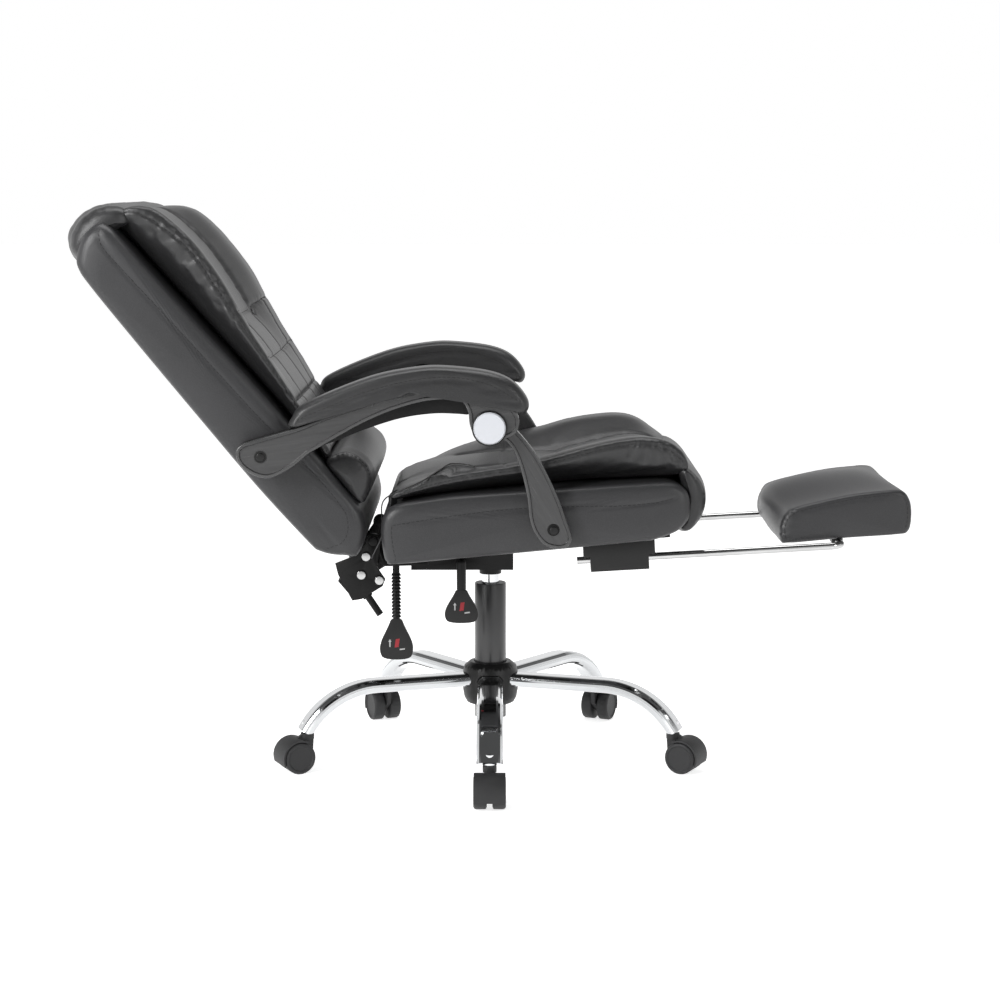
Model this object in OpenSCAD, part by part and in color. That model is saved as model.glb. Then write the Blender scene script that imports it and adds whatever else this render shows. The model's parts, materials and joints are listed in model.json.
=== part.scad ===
// Reclining office chair with a slide-out footrest, shown reclined with the footrest out.
// Millimetres. Origin on the floor under the column, +X forwards, +Y to the sitter's left, +Z up.

/* [Posture] */
// Lean of the back from upright in the reclined pose
back_lean = 39.6; // [34:0.1:42]
// Rake of the seat, front edge up
seat_rake = 5.2; // [4:0.1:6]
// Rake of the footrest rods, front end up
rod_rake = 3.25; // [2.5:0.05:4]

/* [Base] */
// Radius of the circle of caster stems
stem_circle = 301; // [285:1:325]
// Width of a leg tube
leg_w = 40; // [34:0.5:44]
// Height of a leg tube
leg_t = 21; // [18:0.5:22]
// Height of the leg centreline at the hub
leg_h = 128.5; // [126:0.5:134]
// Radius of the leg's downward bend
leg_bend_r = 133; // [128:1:136]
// Angle of the leg's downward bend
leg_bend = 60; // [58:0.5:62]
// Outer radius of the steel hub
hub_r = 36; // [35:0.5:37]
// Height of the steel hub
hub_h = 62; // [50:1:64]
// Outer radius of the hub collar
collar_r = 44; // [40:0.5:50]
// Height of the hub collar
collar_h = 65; // [60:1:68]

/* [Casters] */
// Wheel diameter
wheel_d = 50; // [46:0.5:52]
// Width of one wheel
wheel_w = 20; // [16:0.5:22]
// Distance from the stem to the axle
caster_trail = 20; // [17:0.5:22]
// Radius of the stem
stem_r = 5.5; // [4.5:0.1:6]
// Length of the stem in the leg
stem_l = 17; // [14:0.5:18]
// Radius of the axle
axle_r = 3; // [2.5:0.1:4]
// Thickness of the web between the wheels
web_t = 7; // [5:0.5:9]

/* [Column] */
// Outer radius of the outer tube
tube_r = 25; // [24:0.1:26]
// Height of the top of the outer tube
tube_top = 283; // [270:1:288]
// Radius of the chrome cylinder
piston_r = 14; // [13:0.1:15]
// Radius of the centre rod
rod_r = 4; // [3.5:0.1:5]
// Lift travel
lift_travel = 80; // [60:1:90]

/* [Seat] */
// Height of the seat's underside at the column
seat_h = 363; // [358:1:372]
// Length of the seat base
seat_l = 462; // [445:1:480]
// Distance from the column back to the rear of the seat base
seat_rear = 154; // [150:1:156]
// Width of the seat base
seat_w = 490; // [470:1:492]
// Thickness of the seat base
seat_t = 92; // [84:1:98]
// Height of the seat cushion above the base
cushion_t = 58; // [48:1:60]
// How far the front roll stands ahead of the base
roll_t = 30; // [22:1:34]

/* [Back] */
// Height of the recline hinge
hinge_h = 366; // [364:1:370]
// Distance from the column back to the recline hinge
hinge_x = 180; // [179:1:184]
// Length of the back
back_l = 619; // [580:1:640]
// Width of the back
back_w = 488; // [460:1:490]
// Reference depth that the back's side outline is drawn to
back_t = 100; // [92:1:102]
// Height of the head pillow above the front of the back
pillow_t = 72; // [60:1:78]
// Height of the quilted panel's side lobes
panel_t = 50; // [40:1:54]
// Height of the lumbar roll
lumbar_t = 49; // [40:1:50]

/* [Arms] */
// Distance of the arm's rear bolt up the back
arm_bolt_up = 215; // [205:1:225]
// Distance between the arm's two pivots
arm_l = 336.8; // [325:0.1:345]
// Distance between the post's two pivots
post_l = 179.4; // [174:0.1:186]
// Distance from the column forward to the post's lower bolt
post_x = 94; // [86:1:100]
// Height of the post's lower bolt
post_h = 407; // [402:1:412]
// Width of the arm's frame
arm_w = 38; // [34:0.5:42]
// Width of the arm's pad
pad_w = 60; // [54:1:61]
// Radius of the silver cap
cap_r = 23.6; // [21:0.1:25]
// Thickness of the post
post_t = 17; // [14:0.5:18]

/* [Footrest] */
// Half the distance between the rods
rod_half = 184; // [182:0.5:190]
// Radius of a footrest rod
slide_r = 5.5; // [5:0.1:6.5]
// Distance from the column forward to the footrest's crossbar
bar_x = 532; // [525:1:545]
// Height of the crossbar
bar_h = 370.7; // [366:0.1:376]
// Length of the footrest pad
rest_l = 200; // [185:1:210]
// Half the width of the footrest pad
rest_half = 165; // [150:1:166]
// Thickness of the footrest pad at its sides
rest_t = 75; // [66:1:80]
// Travel of the footrest
rest_travel = 262; // [250:1:264]

/* [Mechanism] */
// Half the width of the mechanism's pan
pan_half = 80; // [72:1:86]
// How far the pan's underside hangs below the seat's underside
pan_drop = 47; // [41:1:49]
// Thickness of the steel sheet
sheet_t = 3; // [2.5:0.1:4]
// Half the distance between the fixed ears' inner faces
ear_half = 100; // [96:1:104]
// Thickness of an ear
ear_t = 4; // [3:0.1:5]
// Radius of an ear round the hinge
ear_r = 11.5; // [10:0.1:12]
// Radius of the hinge bolt
pin_r = 5; // [4:0.1:5.5]
// Distance of the levers from the middle of the chair
lever_y = 135; // [128:0.5:140]
// Distance from the column back to the height lever
height_lever_x = 44; // [42:1:48]
// Distance from the column back to the recline lever
recline_lever_x = 144; // [143:1:147]
// Height of the lever shafts above the pan's underside
lever_up = 20; // [18:0.5:22]
// Length of the height lever below its pivot
height_lever_l = 93; // [84:1:98]
// Length of the recline lever below its pivot
recline_lever_l = 150; // [140:1:152]
// Width of a lever paddle
paddle_w = 50; // [44:1:54]

/* [Hidden] */
pan_h = seat_h - pan_drop;
lever_h = pan_h + lever_up;
$fn = 64;

// Clearances shared by all fits
run_gap = 0.05;
soft_gap = 0.5;
seat_gap = 0.3;
side_gap = 1;
cut = 1.5;
// Share of an edge that rounding takes off at each corner of an outline
corner_share = 0.25;

// Casters
caster_count = 5;
front_leg = 270;
caster_turns = [0, -8, 12, -12, 8];
wheel_r = wheel_d / 2;
wheel_gap = 0.6;
hood_gap = 1;
hood_t = 2.6;
hood_inner = wheel_r + hood_gap;
boss_r = 10.5;
boss_top = 60;
leg_gap = 1;
hood_from = -22;
hood_to = 118;
wheel_edge = 3.5;
dish = 1.6;
leg_drop = leg_bend_r * (1 - cos(leg_bend));
leg_tip_r = stem_circle + stem_r * 0.7;
leg_straight = leg_tip_r - leg_bend_r * sin(leg_bend);
leg_tip_h = leg_h - leg_drop;
collar_z = 91;
hub_z = 90;

// Column
tube_wall = 2.4;
tube_low = 66;
tube_floor = 4;
bush_h = 40;
piston_wall = 3;
piston_low = 100;
socket_drop = 18;
socket_low = pan_h - socket_drop;
socket_wall = 3.5;
piston_top = pan_h + lever_up * 1.5;
plug_h = 8;
pin_up = 5;
pin_down = 20;
clip_h = 2;
bearing_h = 6;
shoulder_r = 9;
rod_end = 3;
rod_top = piston_low + plug_h + lift_travel + rod_end * 2 + side_gap;
ring_r = 12;

// Frames of the seat, the back and the footrest
module seat_frame() translate([0, 0, seat_h]) rotate([0, -seat_rake, 0]) children();
module back_frame() translate([-hinge_x, 0, hinge_h]) rotate([0, -back_lean, 0]) children();
module rest_frame() translate([bar_x, 0, bar_h]) rotate([0, -rod_rake, 0]) children();

function seat_z(x) = seat_h + x * tan(seat_rake);

// Closed outline with its corners rounded off
function rounded(p, times = 2) = times == 0 ? p : rounded([for (i = [0 : len(p) - 1])
    let (a = p[i], b = p[(i + 1) % len(p)])
    each [a + (b - a) * corner_share, b - (b - a) * corner_share]], times - 1);
function sized(shares, a, b) = [for (s = shares) [s.x * a, s.y * b]];
function mix(p, q, k) = [for (i = [0 : len(p) - 1]) p[i] + (q[i] - p[i]) * k];
function mean_x(p) = (max([for (q = p) q.x]) + min([for (q = p) q.x])) / 2;
function half_x(p) = (max([for (q = p) q.x]) - min([for (q = p) q.x])) / 2;

// Rings of points joined into one closed skin, with a fan over each end. An outline bent like a bow,
// whose middle may lie outside it, is laced shut from side to side instead.
module skin(rings, laced = false) {
    n = len(rings[0]);
    m = len(rings);
    points = [for (r = rings) each r];
    ends = laced ? [] : [for (r = [rings[0], rings[m - 1]]) [for (k = [0 : 2]) mean([for (p = r) p[k]])]];
    sides = [for (i = [0 : m - 2], k = [0 : n - 1])
        let (a = i * n + k, b = i * n + (k + 1) % n)
        each [[a, b, b + n], [a, b + n, a + n]]];
    q = (m - 1) * n;
    fans = laced ? [for (k = [0 : n / 2 - 2]) let (o = n - 1 - k)
            each [[k + 1, k, o], [k + 1, o, o - 1], [q + k, q + k + 1, q + o], [q + o, q + k + 1, q + o - 1]]]
        : [for (k = [0 : n - 1]) each [[(k + 1) % n, k, n * m], [q + k, q + (k + 1) % n, n * m + 1]]];
    polyhedron(concat(points, ends), concat(sides, fans), convexity = 6);
}
function mean(v) = (v * [for (x = v) 1]) / len(v);

// Soft piece, drawn along X with its height in Z, between -half and half in Y.
// The outline goes from mid at the middle to side near the edges; the last bit of width is rounded
// over edge_r, where the section shrinks to end_share of its height about the level rest.
// A sewn channel, groove deep, runs along it at groove_share of the half width.
// pull draws the side in halfway along, so that the corners stand out.
plain_stations = [0, 0.5, 0.86, 0.965, 1];
channel_stations = [0, 0.3, 0.44, 0.58, 0.86, 0.965, 1];
groove_share = 0.44;
lobe_rise = 2.5;
end_shrink = 0.6;
function edge_turn(s, half, edge_r) = max(0, (abs(s) * half - (half - edge_r)) / edge_r);
function edge_fall(q) = 1 - sqrt(max(0, 1 - q * q));
function lobe_share(s) = let (k = min(1, max(0, (abs(s) - groove_share) / (1 - groove_share) * lobe_rise)))
    k * k * (3 - 2 * k);
module soft(mid, side, half, edge_r, end_share, rest = 0, groove = 0, pull = 0, times = 2, laced = false) {
    list = groove > 0 ? channel_stations : plain_stations;
    n = len(list);
    stations = concat([for (i = [n - 1 : -1 : 1]) -list[i]], list);
    skin([for (s = stations)
        let (q = edge_turn(s, half, edge_r), fall = edge_fall(q),
            ring = rounded(mix(mid, side, lobe_share(s)), times),
            c = mean_x(ring), h = half_x(ring),
            dip = abs(abs(s) - groove_share) < 0.001 ? groove : 0)
        [for (p = ring)
            let (along = (p.x - c) / h, high = (p.y - rest) * (1 - (1 - end_share) * fall),
                drawn = pull * (1 - along * along) * abs(s))
            [c + (p.x - c) * (1 - fall * min(edge_r / h, end_shrink)), s * half - sign(s) * drawn,
                rest + high - (high > groove * 2 ? dip : 0)]]], laced);
}

// Base
// Section of a leg tube: a flat bar with round ends
section_steps = 10;
module leg_section(gap = 0) polygon([for (side = [1, -1], k = [0 : section_steps])
    let (a = 180 * k / section_steps + (side > 0 ? 0 : 180))
    [cos(a) * (leg_t / 2 + gap), side * (leg_w - leg_t) / 2 + sin(a) * (leg_t / 2 + gap)]]);
module leg_run(length) rotate([0, 90, 0]) linear_extrude(length) leg_section();
module leg() {
    difference() {
        union() {
            translate([0, 0, leg_h]) leg_run(leg_straight);
            translate([leg_straight, 0, leg_h - leg_bend_r]) rotate([90, 0, 0])
                rotate([0, 0, 90 - leg_bend]) rotate_extrude(angle = leg_bend)
                    translate([leg_bend_r, 0]) leg_section();
            translate([stem_circle, 0, leg_tip_h]) cylinder(r = stem_r * 1.6, h = stem_l * 0.9);
        }
        cylinder(r = hub_r, h = leg_h * 2);
        translate([stem_circle, 0, boss_top]) cylinder(r = stem_r + run_gap, h = stem_l + leg_gap + cut);
        translate([leg_straight, -leg_w, 0]) cube([leg_w + stem_circle, leg_w * 2, leg_tip_h]);
    }
}
module each_leg() for (i = [0 : caster_count - 1]) rotate(front_leg + i * 360 / caster_count) children();
module base_legs() color("silver") each_leg() leg();
module base_hub() color("dimgray") difference() {
    translate([0, 0, hub_z]) cylinder(r = hub_r, h = hub_h);
    translate([0, 0, hub_z - cut]) cylinder(r = tube_r + run_gap, h = hub_h + cut * 2);
}
collar_shares = [[0.86, 0], [0.95, 0.11], [1, 0.3], [1, 0.72], [0.94, 0.89], [0.75, 1]];
module hub_collar() color("black") difference() {
    top = collar_z + collar_h;
    rotate_extrude() polygon(concat([[hub_r + soft_gap, collar_z]],
        [for (p = sized(collar_shares, collar_r, collar_h)) p + [0, collar_z]],
        [[tube_r + side_gap, top], [tube_r + side_gap, hub_z + hub_h + soft_gap],
        [hub_r + soft_gap, hub_z + hub_h + soft_gap]]));
    each_leg() translate([hub_r * 0.75, 0, leg_h]) rotate([0, 90, 0]) linear_extrude(collar_r)
        leg_section(soft_gap);
}
// Casters
module at_caster(i) rotate(front_leg + i * 360 / caster_count) translate([stem_circle, 0, 0])
    rotate(caster_turns[i]) children();
module caster_hood(i) color("black") at_caster(i) difference() {
    union() {
        translate([caster_trail, 0, wheel_r]) rotate([90, 0, 0]) rotate([0, 0, hood_from])
            rotate_extrude(angle = hood_to - hood_from)
                translate([hood_inner, -wheel_w - web_t / 2]) square([hood_t, wheel_w * 2 + web_t]);
        translate([0, 0, wheel_r * 2 + hood_gap])
            cylinder(r = boss_r, h = boss_top - wheel_r * 2 - hood_gap);
        translate([0, web_t / 2, 0]) rotate([90, 0, 0]) linear_extrude(web_t) polygon([
            [-boss_r * 0.9, boss_top - hood_t * 0.6], [-boss_r * 0.75, wheel_r * 1.3],
            [caster_trail - axle_r * 3, wheel_r * 0.66],
            [caster_trail + axle_r * 3, wheel_r * 0.66], [caster_trail + hood_inner * 1.03, wheel_r * 0.94],
            [caster_trail + hood_inner * 0.88, wheel_r * 1.56], [caster_trail, wheel_r * 2 + hood_gap * 2],
            [boss_r * 0.9, boss_top - hood_t * 0.6]]);
    }
    translate([caster_trail, 0, wheel_r]) rotate([90, 0, 0])
        cylinder(r = axle_r + run_gap, h = web_t * 2, center = true);
    translate([0, 0, boss_top - stem_l / 2]) cylinder(r = stem_r + run_gap, h = stem_l);
}
module caster_pins(i) color("silver") at_caster(i) {
    translate([0, 0, boss_top - stem_l / 2]) cylinder(r = stem_r, h = stem_l * 1.5);
    translate([caster_trail, 0, wheel_r]) rotate([90, 0, 0])
        cylinder(r = axle_r, h = wheel_w * 2 + web_t - wheel_edge * 2, center = true);
}
module wheel() difference() {
    rotate_extrude() polygon([[0, 0], [wheel_r - wheel_edge, 0], [wheel_r, wheel_edge / 2],
        [wheel_r, wheel_w - wheel_edge], [wheel_r - wheel_edge / 3, wheel_w - wheel_edge / 3],
        [wheel_r - wheel_edge, wheel_w], [wheel_r * 0.8, wheel_w], [wheel_r * 0.76, wheel_w - dish],
        [0, wheel_w - dish / 2]]);
    translate([0, 0, -cut]) cylinder(r = axle_r + run_gap, h = wheel_w - wheel_edge + cut * 2);
}
module caster_wheels(i) color("black") at_caster(i) translate([caster_trail, 0, wheel_r])
    for (side = [-1, 1]) rotate([-90 * side, 0, 0]) translate([0, 0, web_t / 2 + wheel_gap]) wheel();

// Column
module lift_outer_tube() color("black") difference() {
    translate([0, 0, tube_low]) cylinder(r = tube_r, h = tube_top - tube_low);
    translate([0, 0, tube_low + tube_floor]) cylinder(r = tube_r - tube_wall, h = tube_top);
    translate([0, 0, tube_low - cut]) cylinder(r = rod_r + run_gap, h = tube_floor + cut * 2);
}
module lift_bush() color("black") translate([0, 0, tube_top - bush_h]) difference() {
    cylinder(r = tube_r - tube_wall, h = bush_h);
    translate([0, 0, -cut]) cylinder(r = piston_r + run_gap, h = bush_h + cut * 2);
}
module lift_bearing() color("silver") translate([0, 0, tube_low + tube_floor]) difference() {
    cylinder(r = ring_r, h = bearing_h);
    translate([0, 0, -cut]) cylinder(r = rod_r + run_gap, h = bearing_h + cut * 2);
}
module lift_rod() color("silver") union() {
    translate([0, 0, tube_low - rod_end * 2]) cylinder(r = rod_r, h = rod_top - tube_low + rod_end);
    translate([0, 0, tube_low + tube_floor + bearing_h]) cylinder(r = shoulder_r, h = rod_end);
    translate([0, 0, rod_top - rod_end * 2])
        cylinder(r = piston_r - piston_wall - run_gap * 2, h = rod_end * 2);
}
module lift_clip() color("silver") translate([0, 0, tube_low - clip_h]) difference() {
    cylinder(r = rod_r * 2, h = clip_h);
    translate([0, 0, -cut]) cylinder(r = rod_r, h = clip_h + cut * 2);
}
module lift_cylinder() color("silver") difference() {
    translate([0, 0, piston_low]) cylinder(r = piston_r, h = piston_top - piston_low);
    translate([0, 0, piston_low + plug_h])
        cylinder(r = piston_r - piston_wall, h = piston_top - piston_low - plug_h - pin_down);
    translate([0, 0, piston_low - cut]) cylinder(r = rod_r + run_gap, h = plug_h + cut * 2);
    translate([0, 0, piston_top - pin_down - cut]) cylinder(r = rod_r + run_gap, h = pin_down + cut * 2);
}
module release_pin() color("crimson") translate([0, 0, piston_top - pin_down])
    cylinder(r = rod_r, h = pin_down + pin_up);

// Mechanism
pan_rear = 123;
pan_front = 36;
bolt_head_r = 7;
bolt_head_h = 4.5;
lever_r = 4;
screw_r = 3;
screw_head_r = 5.5;
screw_head_h = 2.5;
function pan_screws() = [for (x = [-pan_rear * 0.62, pan_front * 0.5], s = [-1, 1])
    [x, s * (pan_half + screw_head_r * 2)]];
function ear_screws() = [for (s = [-1, 1]) [-seat_rear * 0.73, s * (ear_half - screw_head_r * 2.2)]];
module pan_side() polygon([[-pan_rear, pan_h], [pan_front, pan_h],
    [pan_front, seat_z(pan_front) - sheet_t], [-pan_rear, seat_z(-pan_rear) - sheet_t]]);
module mechanism_pan() color("dimgray") difference() {
    union() {
        for (s = [-1, 1]) translate([0, s * pan_half + (s < 0 ? sheet_t : 0), 0]) rotate([90, 0, 0])
            linear_extrude(sheet_t) pan_side();
        translate([-pan_rear, -pan_half, pan_h]) cube([pan_rear + pan_front, pan_half * 2, sheet_t]);
        seat_frame() translate([-pan_rear * 0.75, -pan_half - screw_head_r * 4, -sheet_t])
            cube([pan_rear * 0.75 + pan_front * 1.3, (pan_half + screw_head_r * 4) * 2, sheet_t]);
        translate([0, 0, socket_low]) cylinder(r = piston_r + socket_wall, h = piston_top - socket_low);
    }
    translate([0, 0, socket_low - cut])
        cylinder(r = piston_r + run_gap, h = piston_top - socket_low + cut * 2);
    for (x = [-height_lever_x, -recline_lever_x]) translate([x, 0, lever_h]) rotate([90, 0, 0])
        cylinder(r = lever_r + run_gap, h = pan_half * 2 + cut * 2, center = true);
    for (p = pan_screws()) seat_frame() translate([p.x, p.y, -sheet_t - cut])
        cylinder(r = screw_r + run_gap, h = sheet_t + cut * 2);
}
ear_front = 96;
module ear_profile() difference() {
    union() {
        translate([-hinge_x, hinge_h]) circle(r = ear_r);
        polygon([[-hinge_x - ear_r, hinge_h], [-hinge_x - ear_r * 0.5, hinge_h + ear_r * 0.86],
            [-hinge_x + ear_r, hinge_h],
            [-seat_rear * 0.97, seat_z(-seat_rear * 0.97) - sheet_t * 0.3],
            [-ear_front, seat_z(-ear_front) - sheet_t * 0.3], [-ear_front, pan_h + ear_r],
            [-hinge_x + ear_r * 1.5, hinge_h - ear_r * 3.5],
            [-hinge_x - ear_r * 0.55, hinge_h - ear_r * 2.5]]);
    }
    translate([-hinge_x, hinge_h]) circle(r = pin_r + run_gap);
}
module hinge_ears() color("dimgray") difference() {
    union() {
        for (s = [-1, 1]) translate([0, s * ear_half + (s > 0 ? ear_t : 0), 0])
            rotate([90, 0, 0]) linear_extrude(ear_t) ear_profile();
        seat_frame() translate([-seat_rear * 0.95, -ear_half - ear_t, -sheet_t])
            cube([seat_rear * 0.95 - ear_front, (ear_half + ear_t) * 2, sheet_t]);
    }
    for (p = ear_screws()) seat_frame() translate([p.x, p.y, -sheet_t - cut])
        cylinder(r = screw_r + run_gap, h = sheet_t + cut * 2);
    for (s = [-1, 1]) translate([-recline_lever_x, s * ear_half, lever_h]) rotate([90, 0, 0])
        cylinder(r = lever_r + run_gap, h = ear_t * 4, center = true);
}
plate_in = ear_half + ear_t + side_gap;
module pivot_bolts() color("silver") for (s = [-1, 1]) mirror([0, s < 0 ? 1 : 0, 0]) {
    translate([-hinge_x, ear_half - bolt_head_h, hinge_h]) rotate([-90, 0, 0]) {
        cylinder(r = pin_r, h = bolt_head_h + ear_t * 2 + side_gap * 2);
        translate([0, 0, -bolt_head_h * 0.6]) cylinder(r = bolt_head_r, h = bolt_head_h * 1.5);
        translate([0, 0, bolt_head_h + ear_t * 2 + side_gap * 1.5])
            cylinder(r = bolt_head_r, h = bolt_head_h);
    }
    translate([post_x, board_half - rail_w / 2, post_h]) rotate([-90, 0, 0]) {
        cylinder(r = pin_r, h = arm_in + post_t - board_half + rail_w / 2 - bolt_head_h / 2);
        translate([0, 0, arm_in + post_t - bolt_head_h - board_half + rail_w / 2])
            cylinder(r = bolt_head_r * 1.3, h = bolt_head_h * 0.7);
    }
}
module seat_screws() color("silver") seat_frame() for (p = concat(pan_screws(), ear_screws()))
    translate([p.x, p.y, -sheet_t - screw_head_h]) {
        cylinder(r = screw_r, h = sheet_t + screw_head_h + board_up + board_t / 2);
        cylinder(r = screw_head_r, h = screw_head_h);
    }

// Seat
board_t = 12;
board_up = 1;
rail_w = 22;
rail_h = 46;
board_half = seat_w * 0.44;
board_l = seat_l * 0.86;
module seat_board() color("burlywood") difference() {
    seat_frame() translate([-seat_rear + seat_l * 0.06, 0, board_up]) {
        translate([0, -board_half, 0]) cube([board_l, board_half * 2, board_t]);
        for (s = [-1, 1]) translate([0, s > 0 ? board_half - rail_w : -board_half, 0])
            cube([board_l, rail_w, rail_h]);
    }
    for (p = concat(pan_screws(), ear_screws())) seat_frame() translate([p.x, p.y, -cut])
        cylinder(r = screw_r + run_gap, h = board_t + cut);
    for (s = [-1, 1]) translate([post_x, s * board_half, post_h]) rotate([90, 0, 0])
        cylinder(r = pin_r + run_gap, h = rail_w, center = true);
}
seat_base_shares = [[0, 0.1], [0.03, 0], [0.86, 0], [0.95, 0.05], [1, 0.3], [1, 0.76], [0.955, 1],
    [0.05, 1], [0, 0.74]];
module seat_base_cushion() color("dimgray") difference() {
    outline = [for (p = sized(seat_base_shares, seat_l, seat_t)) p - [seat_rear, 0]];
    seat_frame() soft(outline, outline, seat_w / 2, seat_t * 0.24, 0.72, seat_t / 2, 0, seat_w * 0.008);
    seat_frame() translate([-seat_rear + seat_l * 0.06 - soft_gap, 0, 0]) {
        translate([0, -board_half - soft_gap, -cut])
            cube([board_l + soft_gap * 2, (board_half + soft_gap) * 2, board_up + board_t + soft_gap + cut]);
        for (s = [-1, 1]) translate([0, s > 0 ? board_half - rail_w - soft_gap : -board_half - soft_gap, 0])
            cube([board_l + soft_gap * 2, rail_w + soft_gap * 2, board_up + rail_h + soft_gap]);
    }
    for (s = [-1, 1]) translate([post_x, s * seat_w / 2, post_h]) rotate([90, 0, 0])
        cylinder(r = pin_r + soft_gap, h = seat_w - board_half * 2, center = true);
}
seat_lobe_shares = [[0.062, 0], [0.955, 0], [0.995, 0.12], [0.985, 0.6], [0.93, 0.98], [0.8, 1.06],
    [0.66, 0.86], [0.5, 0.7], [0.33, 0.71], [0.18, 0.79], [0.092, 0.5], [0.056, 0.16]];
seat_middle_shares = [[0.062, 0], [0.955, 0], [0.995, 0.1], [0.98, 0.5], [0.92, 0.82], [0.8, 0.88],
    [0.66, 0.74], [0.5, 0.58], [0.33, 0.52], [0.18, 0.48], [0.092, 0.3], [0.056, 0.12]];
module seat_top_cushion() color("dimgray") seat_frame() translate([-seat_rear, 0, seat_t + soft_gap])
    soft(sized(seat_middle_shares, seat_l, cushion_t), sized(seat_lobe_shares, seat_l, cushion_t),
        seat_w * 0.475, cushion_t * 0.62, 0.3, 0, cushion_t * 0.1, seat_w * 0.012);
front_roll_shares = [[0, 0.2], [0, 0.88], [0.12, 1.03], [0.6, 0.98], [0.98, 0.66], [0.92, 0.36], [0.45, 0.1]];
module seat_front_roll() color("dimgray") seat_frame() translate([seat_l - seat_rear + soft_gap, 0, 0])
    soft(sized(front_roll_shares, roll_t, seat_t), sized(front_roll_shares, roll_t, seat_t),
        seat_w * 0.46, roll_t, 0.75, seat_t * 0.55);

// Cord of the massage unit, from the seat cushion down to the hinge and under the back
cord_d = 2;
cord_route = [[-21, -207, 493.7], [-30, -203, 495.5], [-40, -198, 496.7], [-51, -190, 496],
    [-60, -194, 496], [-67, -207, 494], [-74, -216, 490], [-85, -225, 484], [-97, -232, 477],
    [-109, -235, 471], [-122, -235.5, 465.5], [-134, -235.5, 460], [-146, -235, 455], [-154, -233, 450],
    [-159, -230, 443], [-161, -226, 434], [-161, -219, 422], [-161, -210, 408], [-161, -202, 397],
    [-163, -192, 386], [-168, -178, 373], [-175, -160, 358], [-181, -145, 345]];
cord_sides = 8;
cord_step = 5;
function curve_point(a, b, c, d, t) = ((b * 2) + (c - a) * t + (a * 2 - b * 5 + c * 4 - d) * t * t
    + (b * 3 - a - c * 3 + d) * t * t * t) / 2;
function cord_points() = let (r = cord_route, n = len(r)) [for (i = [0 : n - 2])
    let (a = r[max(0, i - 1)], b = r[i], c = r[i + 1], d = r[min(n - 1, i + 2)],
        parts = max(1, round(norm(c - b) / cord_step)))
    each [for (k = [0 : parts - 1]) curve_point(a, b, c, d, k / parts)], r[n - 1]];
function unit(v) = v / norm(v);
module massage_cord() color("black") {
    p = cord_points();
    n = len(p);
    skin([for (i = [0 : n - 1])
        let (t = unit(p[min(n - 1, i + 1)] - p[max(0, i - 1)]),
            a = unit(cross(t, [0, 1, 0])), b = cross(t, a))
        [for (k = [0 : cord_sides - 1]) p[i]
            + (a * cos(k * 360 / cord_sides) - b * sin(k * 360 / cord_sides)) * cord_d / 2]]);
}

// Levers
paddle_t = 9;
paddle_shares = [[-0.16, 1], [0.16, 1], [0.24, 0.82], [0.5, 0.42], [0.52, 0.18], [0.4, 0], [-0.4, 0],
    [-0.52, 0.18], [-0.5, 0.42], [-0.24, 0.82]];
height_paddle_h = 52;
recline_paddle_h = 64;
finger_t = 3.5;
rib_count = 13;
rib_pitch = 5.4;
rib_r = 7.6;
shank_r = lever_r * 0.75;
module lever_arm(x, drop, shaft_r, inner) translate([-x, -lever_y, lever_h]) {
    rotate([-90, 0, 0]) cylinder(r = lever_r, h = lever_y - inner);
    sphere(r = shaft_r);
    translate([0, 0, -drop]) cylinder(r = shaft_r, h = drop);
    translate([0, 0, -drop - paddle_t * 0.9]) cylinder(r = shank_r, h = paddle_t);
}
module height_lever() color("black") union() {
    lever_arm(height_lever_x, height_lever_l - height_paddle_h, lever_r * 1.8, lever_r);
    translate([-height_lever_x, -lever_r * 2, piston_top + pin_up + run_gap])
        cube([height_lever_x + rod_r, lever_r * 2 + rod_r, finger_t]);
    translate([-height_lever_x - lever_r, -lever_r * 2, lever_h])
        cube([lever_r * 2, lever_r * 2, piston_top + pin_up - lever_h + finger_t + run_gap]);
}
module paddle(x, length, height) color("black") translate([-x, -lever_y + paddle_t / 2, lever_h - length])
    difference() {
        rotate([90, 0, 0]) linear_extrude(paddle_t)
            polygon(rounded(sized(paddle_shares, paddle_w, height)));
        translate([0, -paddle_t / 2, height - paddle_t]) cylinder(r = shank_r + run_gap, h = paddle_t * 2);
    }
module height_paddle() paddle(height_lever_x, height_lever_l, height_paddle_h);
module recline_lever() color("black") union() {
    drop = recline_lever_l - recline_paddle_h;
    lever_arm(recline_lever_x, drop, lever_r * 1.3, ear_half - ear_t * 2);
    for (i = [0 : rib_count - 1])
        translate([-recline_lever_x, -lever_y, lever_h - drop + rib_pitch * (i + 0.4)])
            cylinder(r1 = rib_r, r2 = rib_r * 0.8, h = rib_pitch * 0.6);
}
module recline_paddle() paddle(recline_lever_x, recline_lever_l, recline_paddle_h);

// Back
tongue_n = -28;
back_board_t = 12;
plate_t = 4;
tongue_up = 150;
back_board_half = back_w * 0.385;
back_board_low = 26;
back_board_l = back_l * 0.84;
module bracket_profile() difference() {
    union() {
        polygon(bracket_pts_xz());
        circle(r = ear_r);
        polygon([[ear_r * 0.6, -ear_r * 0.8], [ear_r * 0.1, ear_r * 0.98], [-ear_r * 0.9, ear_r * 0.4],
            [-ear_r * 3.4, -ear_r * 0.3], [-ear_r * 3.4, -ear_r * 3.1], [-ear_r * 1.9, -ear_r * 3]]);
    }
    circle(r = pin_r + run_gap);
    for (p = bracket_bolt_places()) translate(p) circle(r = pin_r * 0.8 + run_gap);
}
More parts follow.
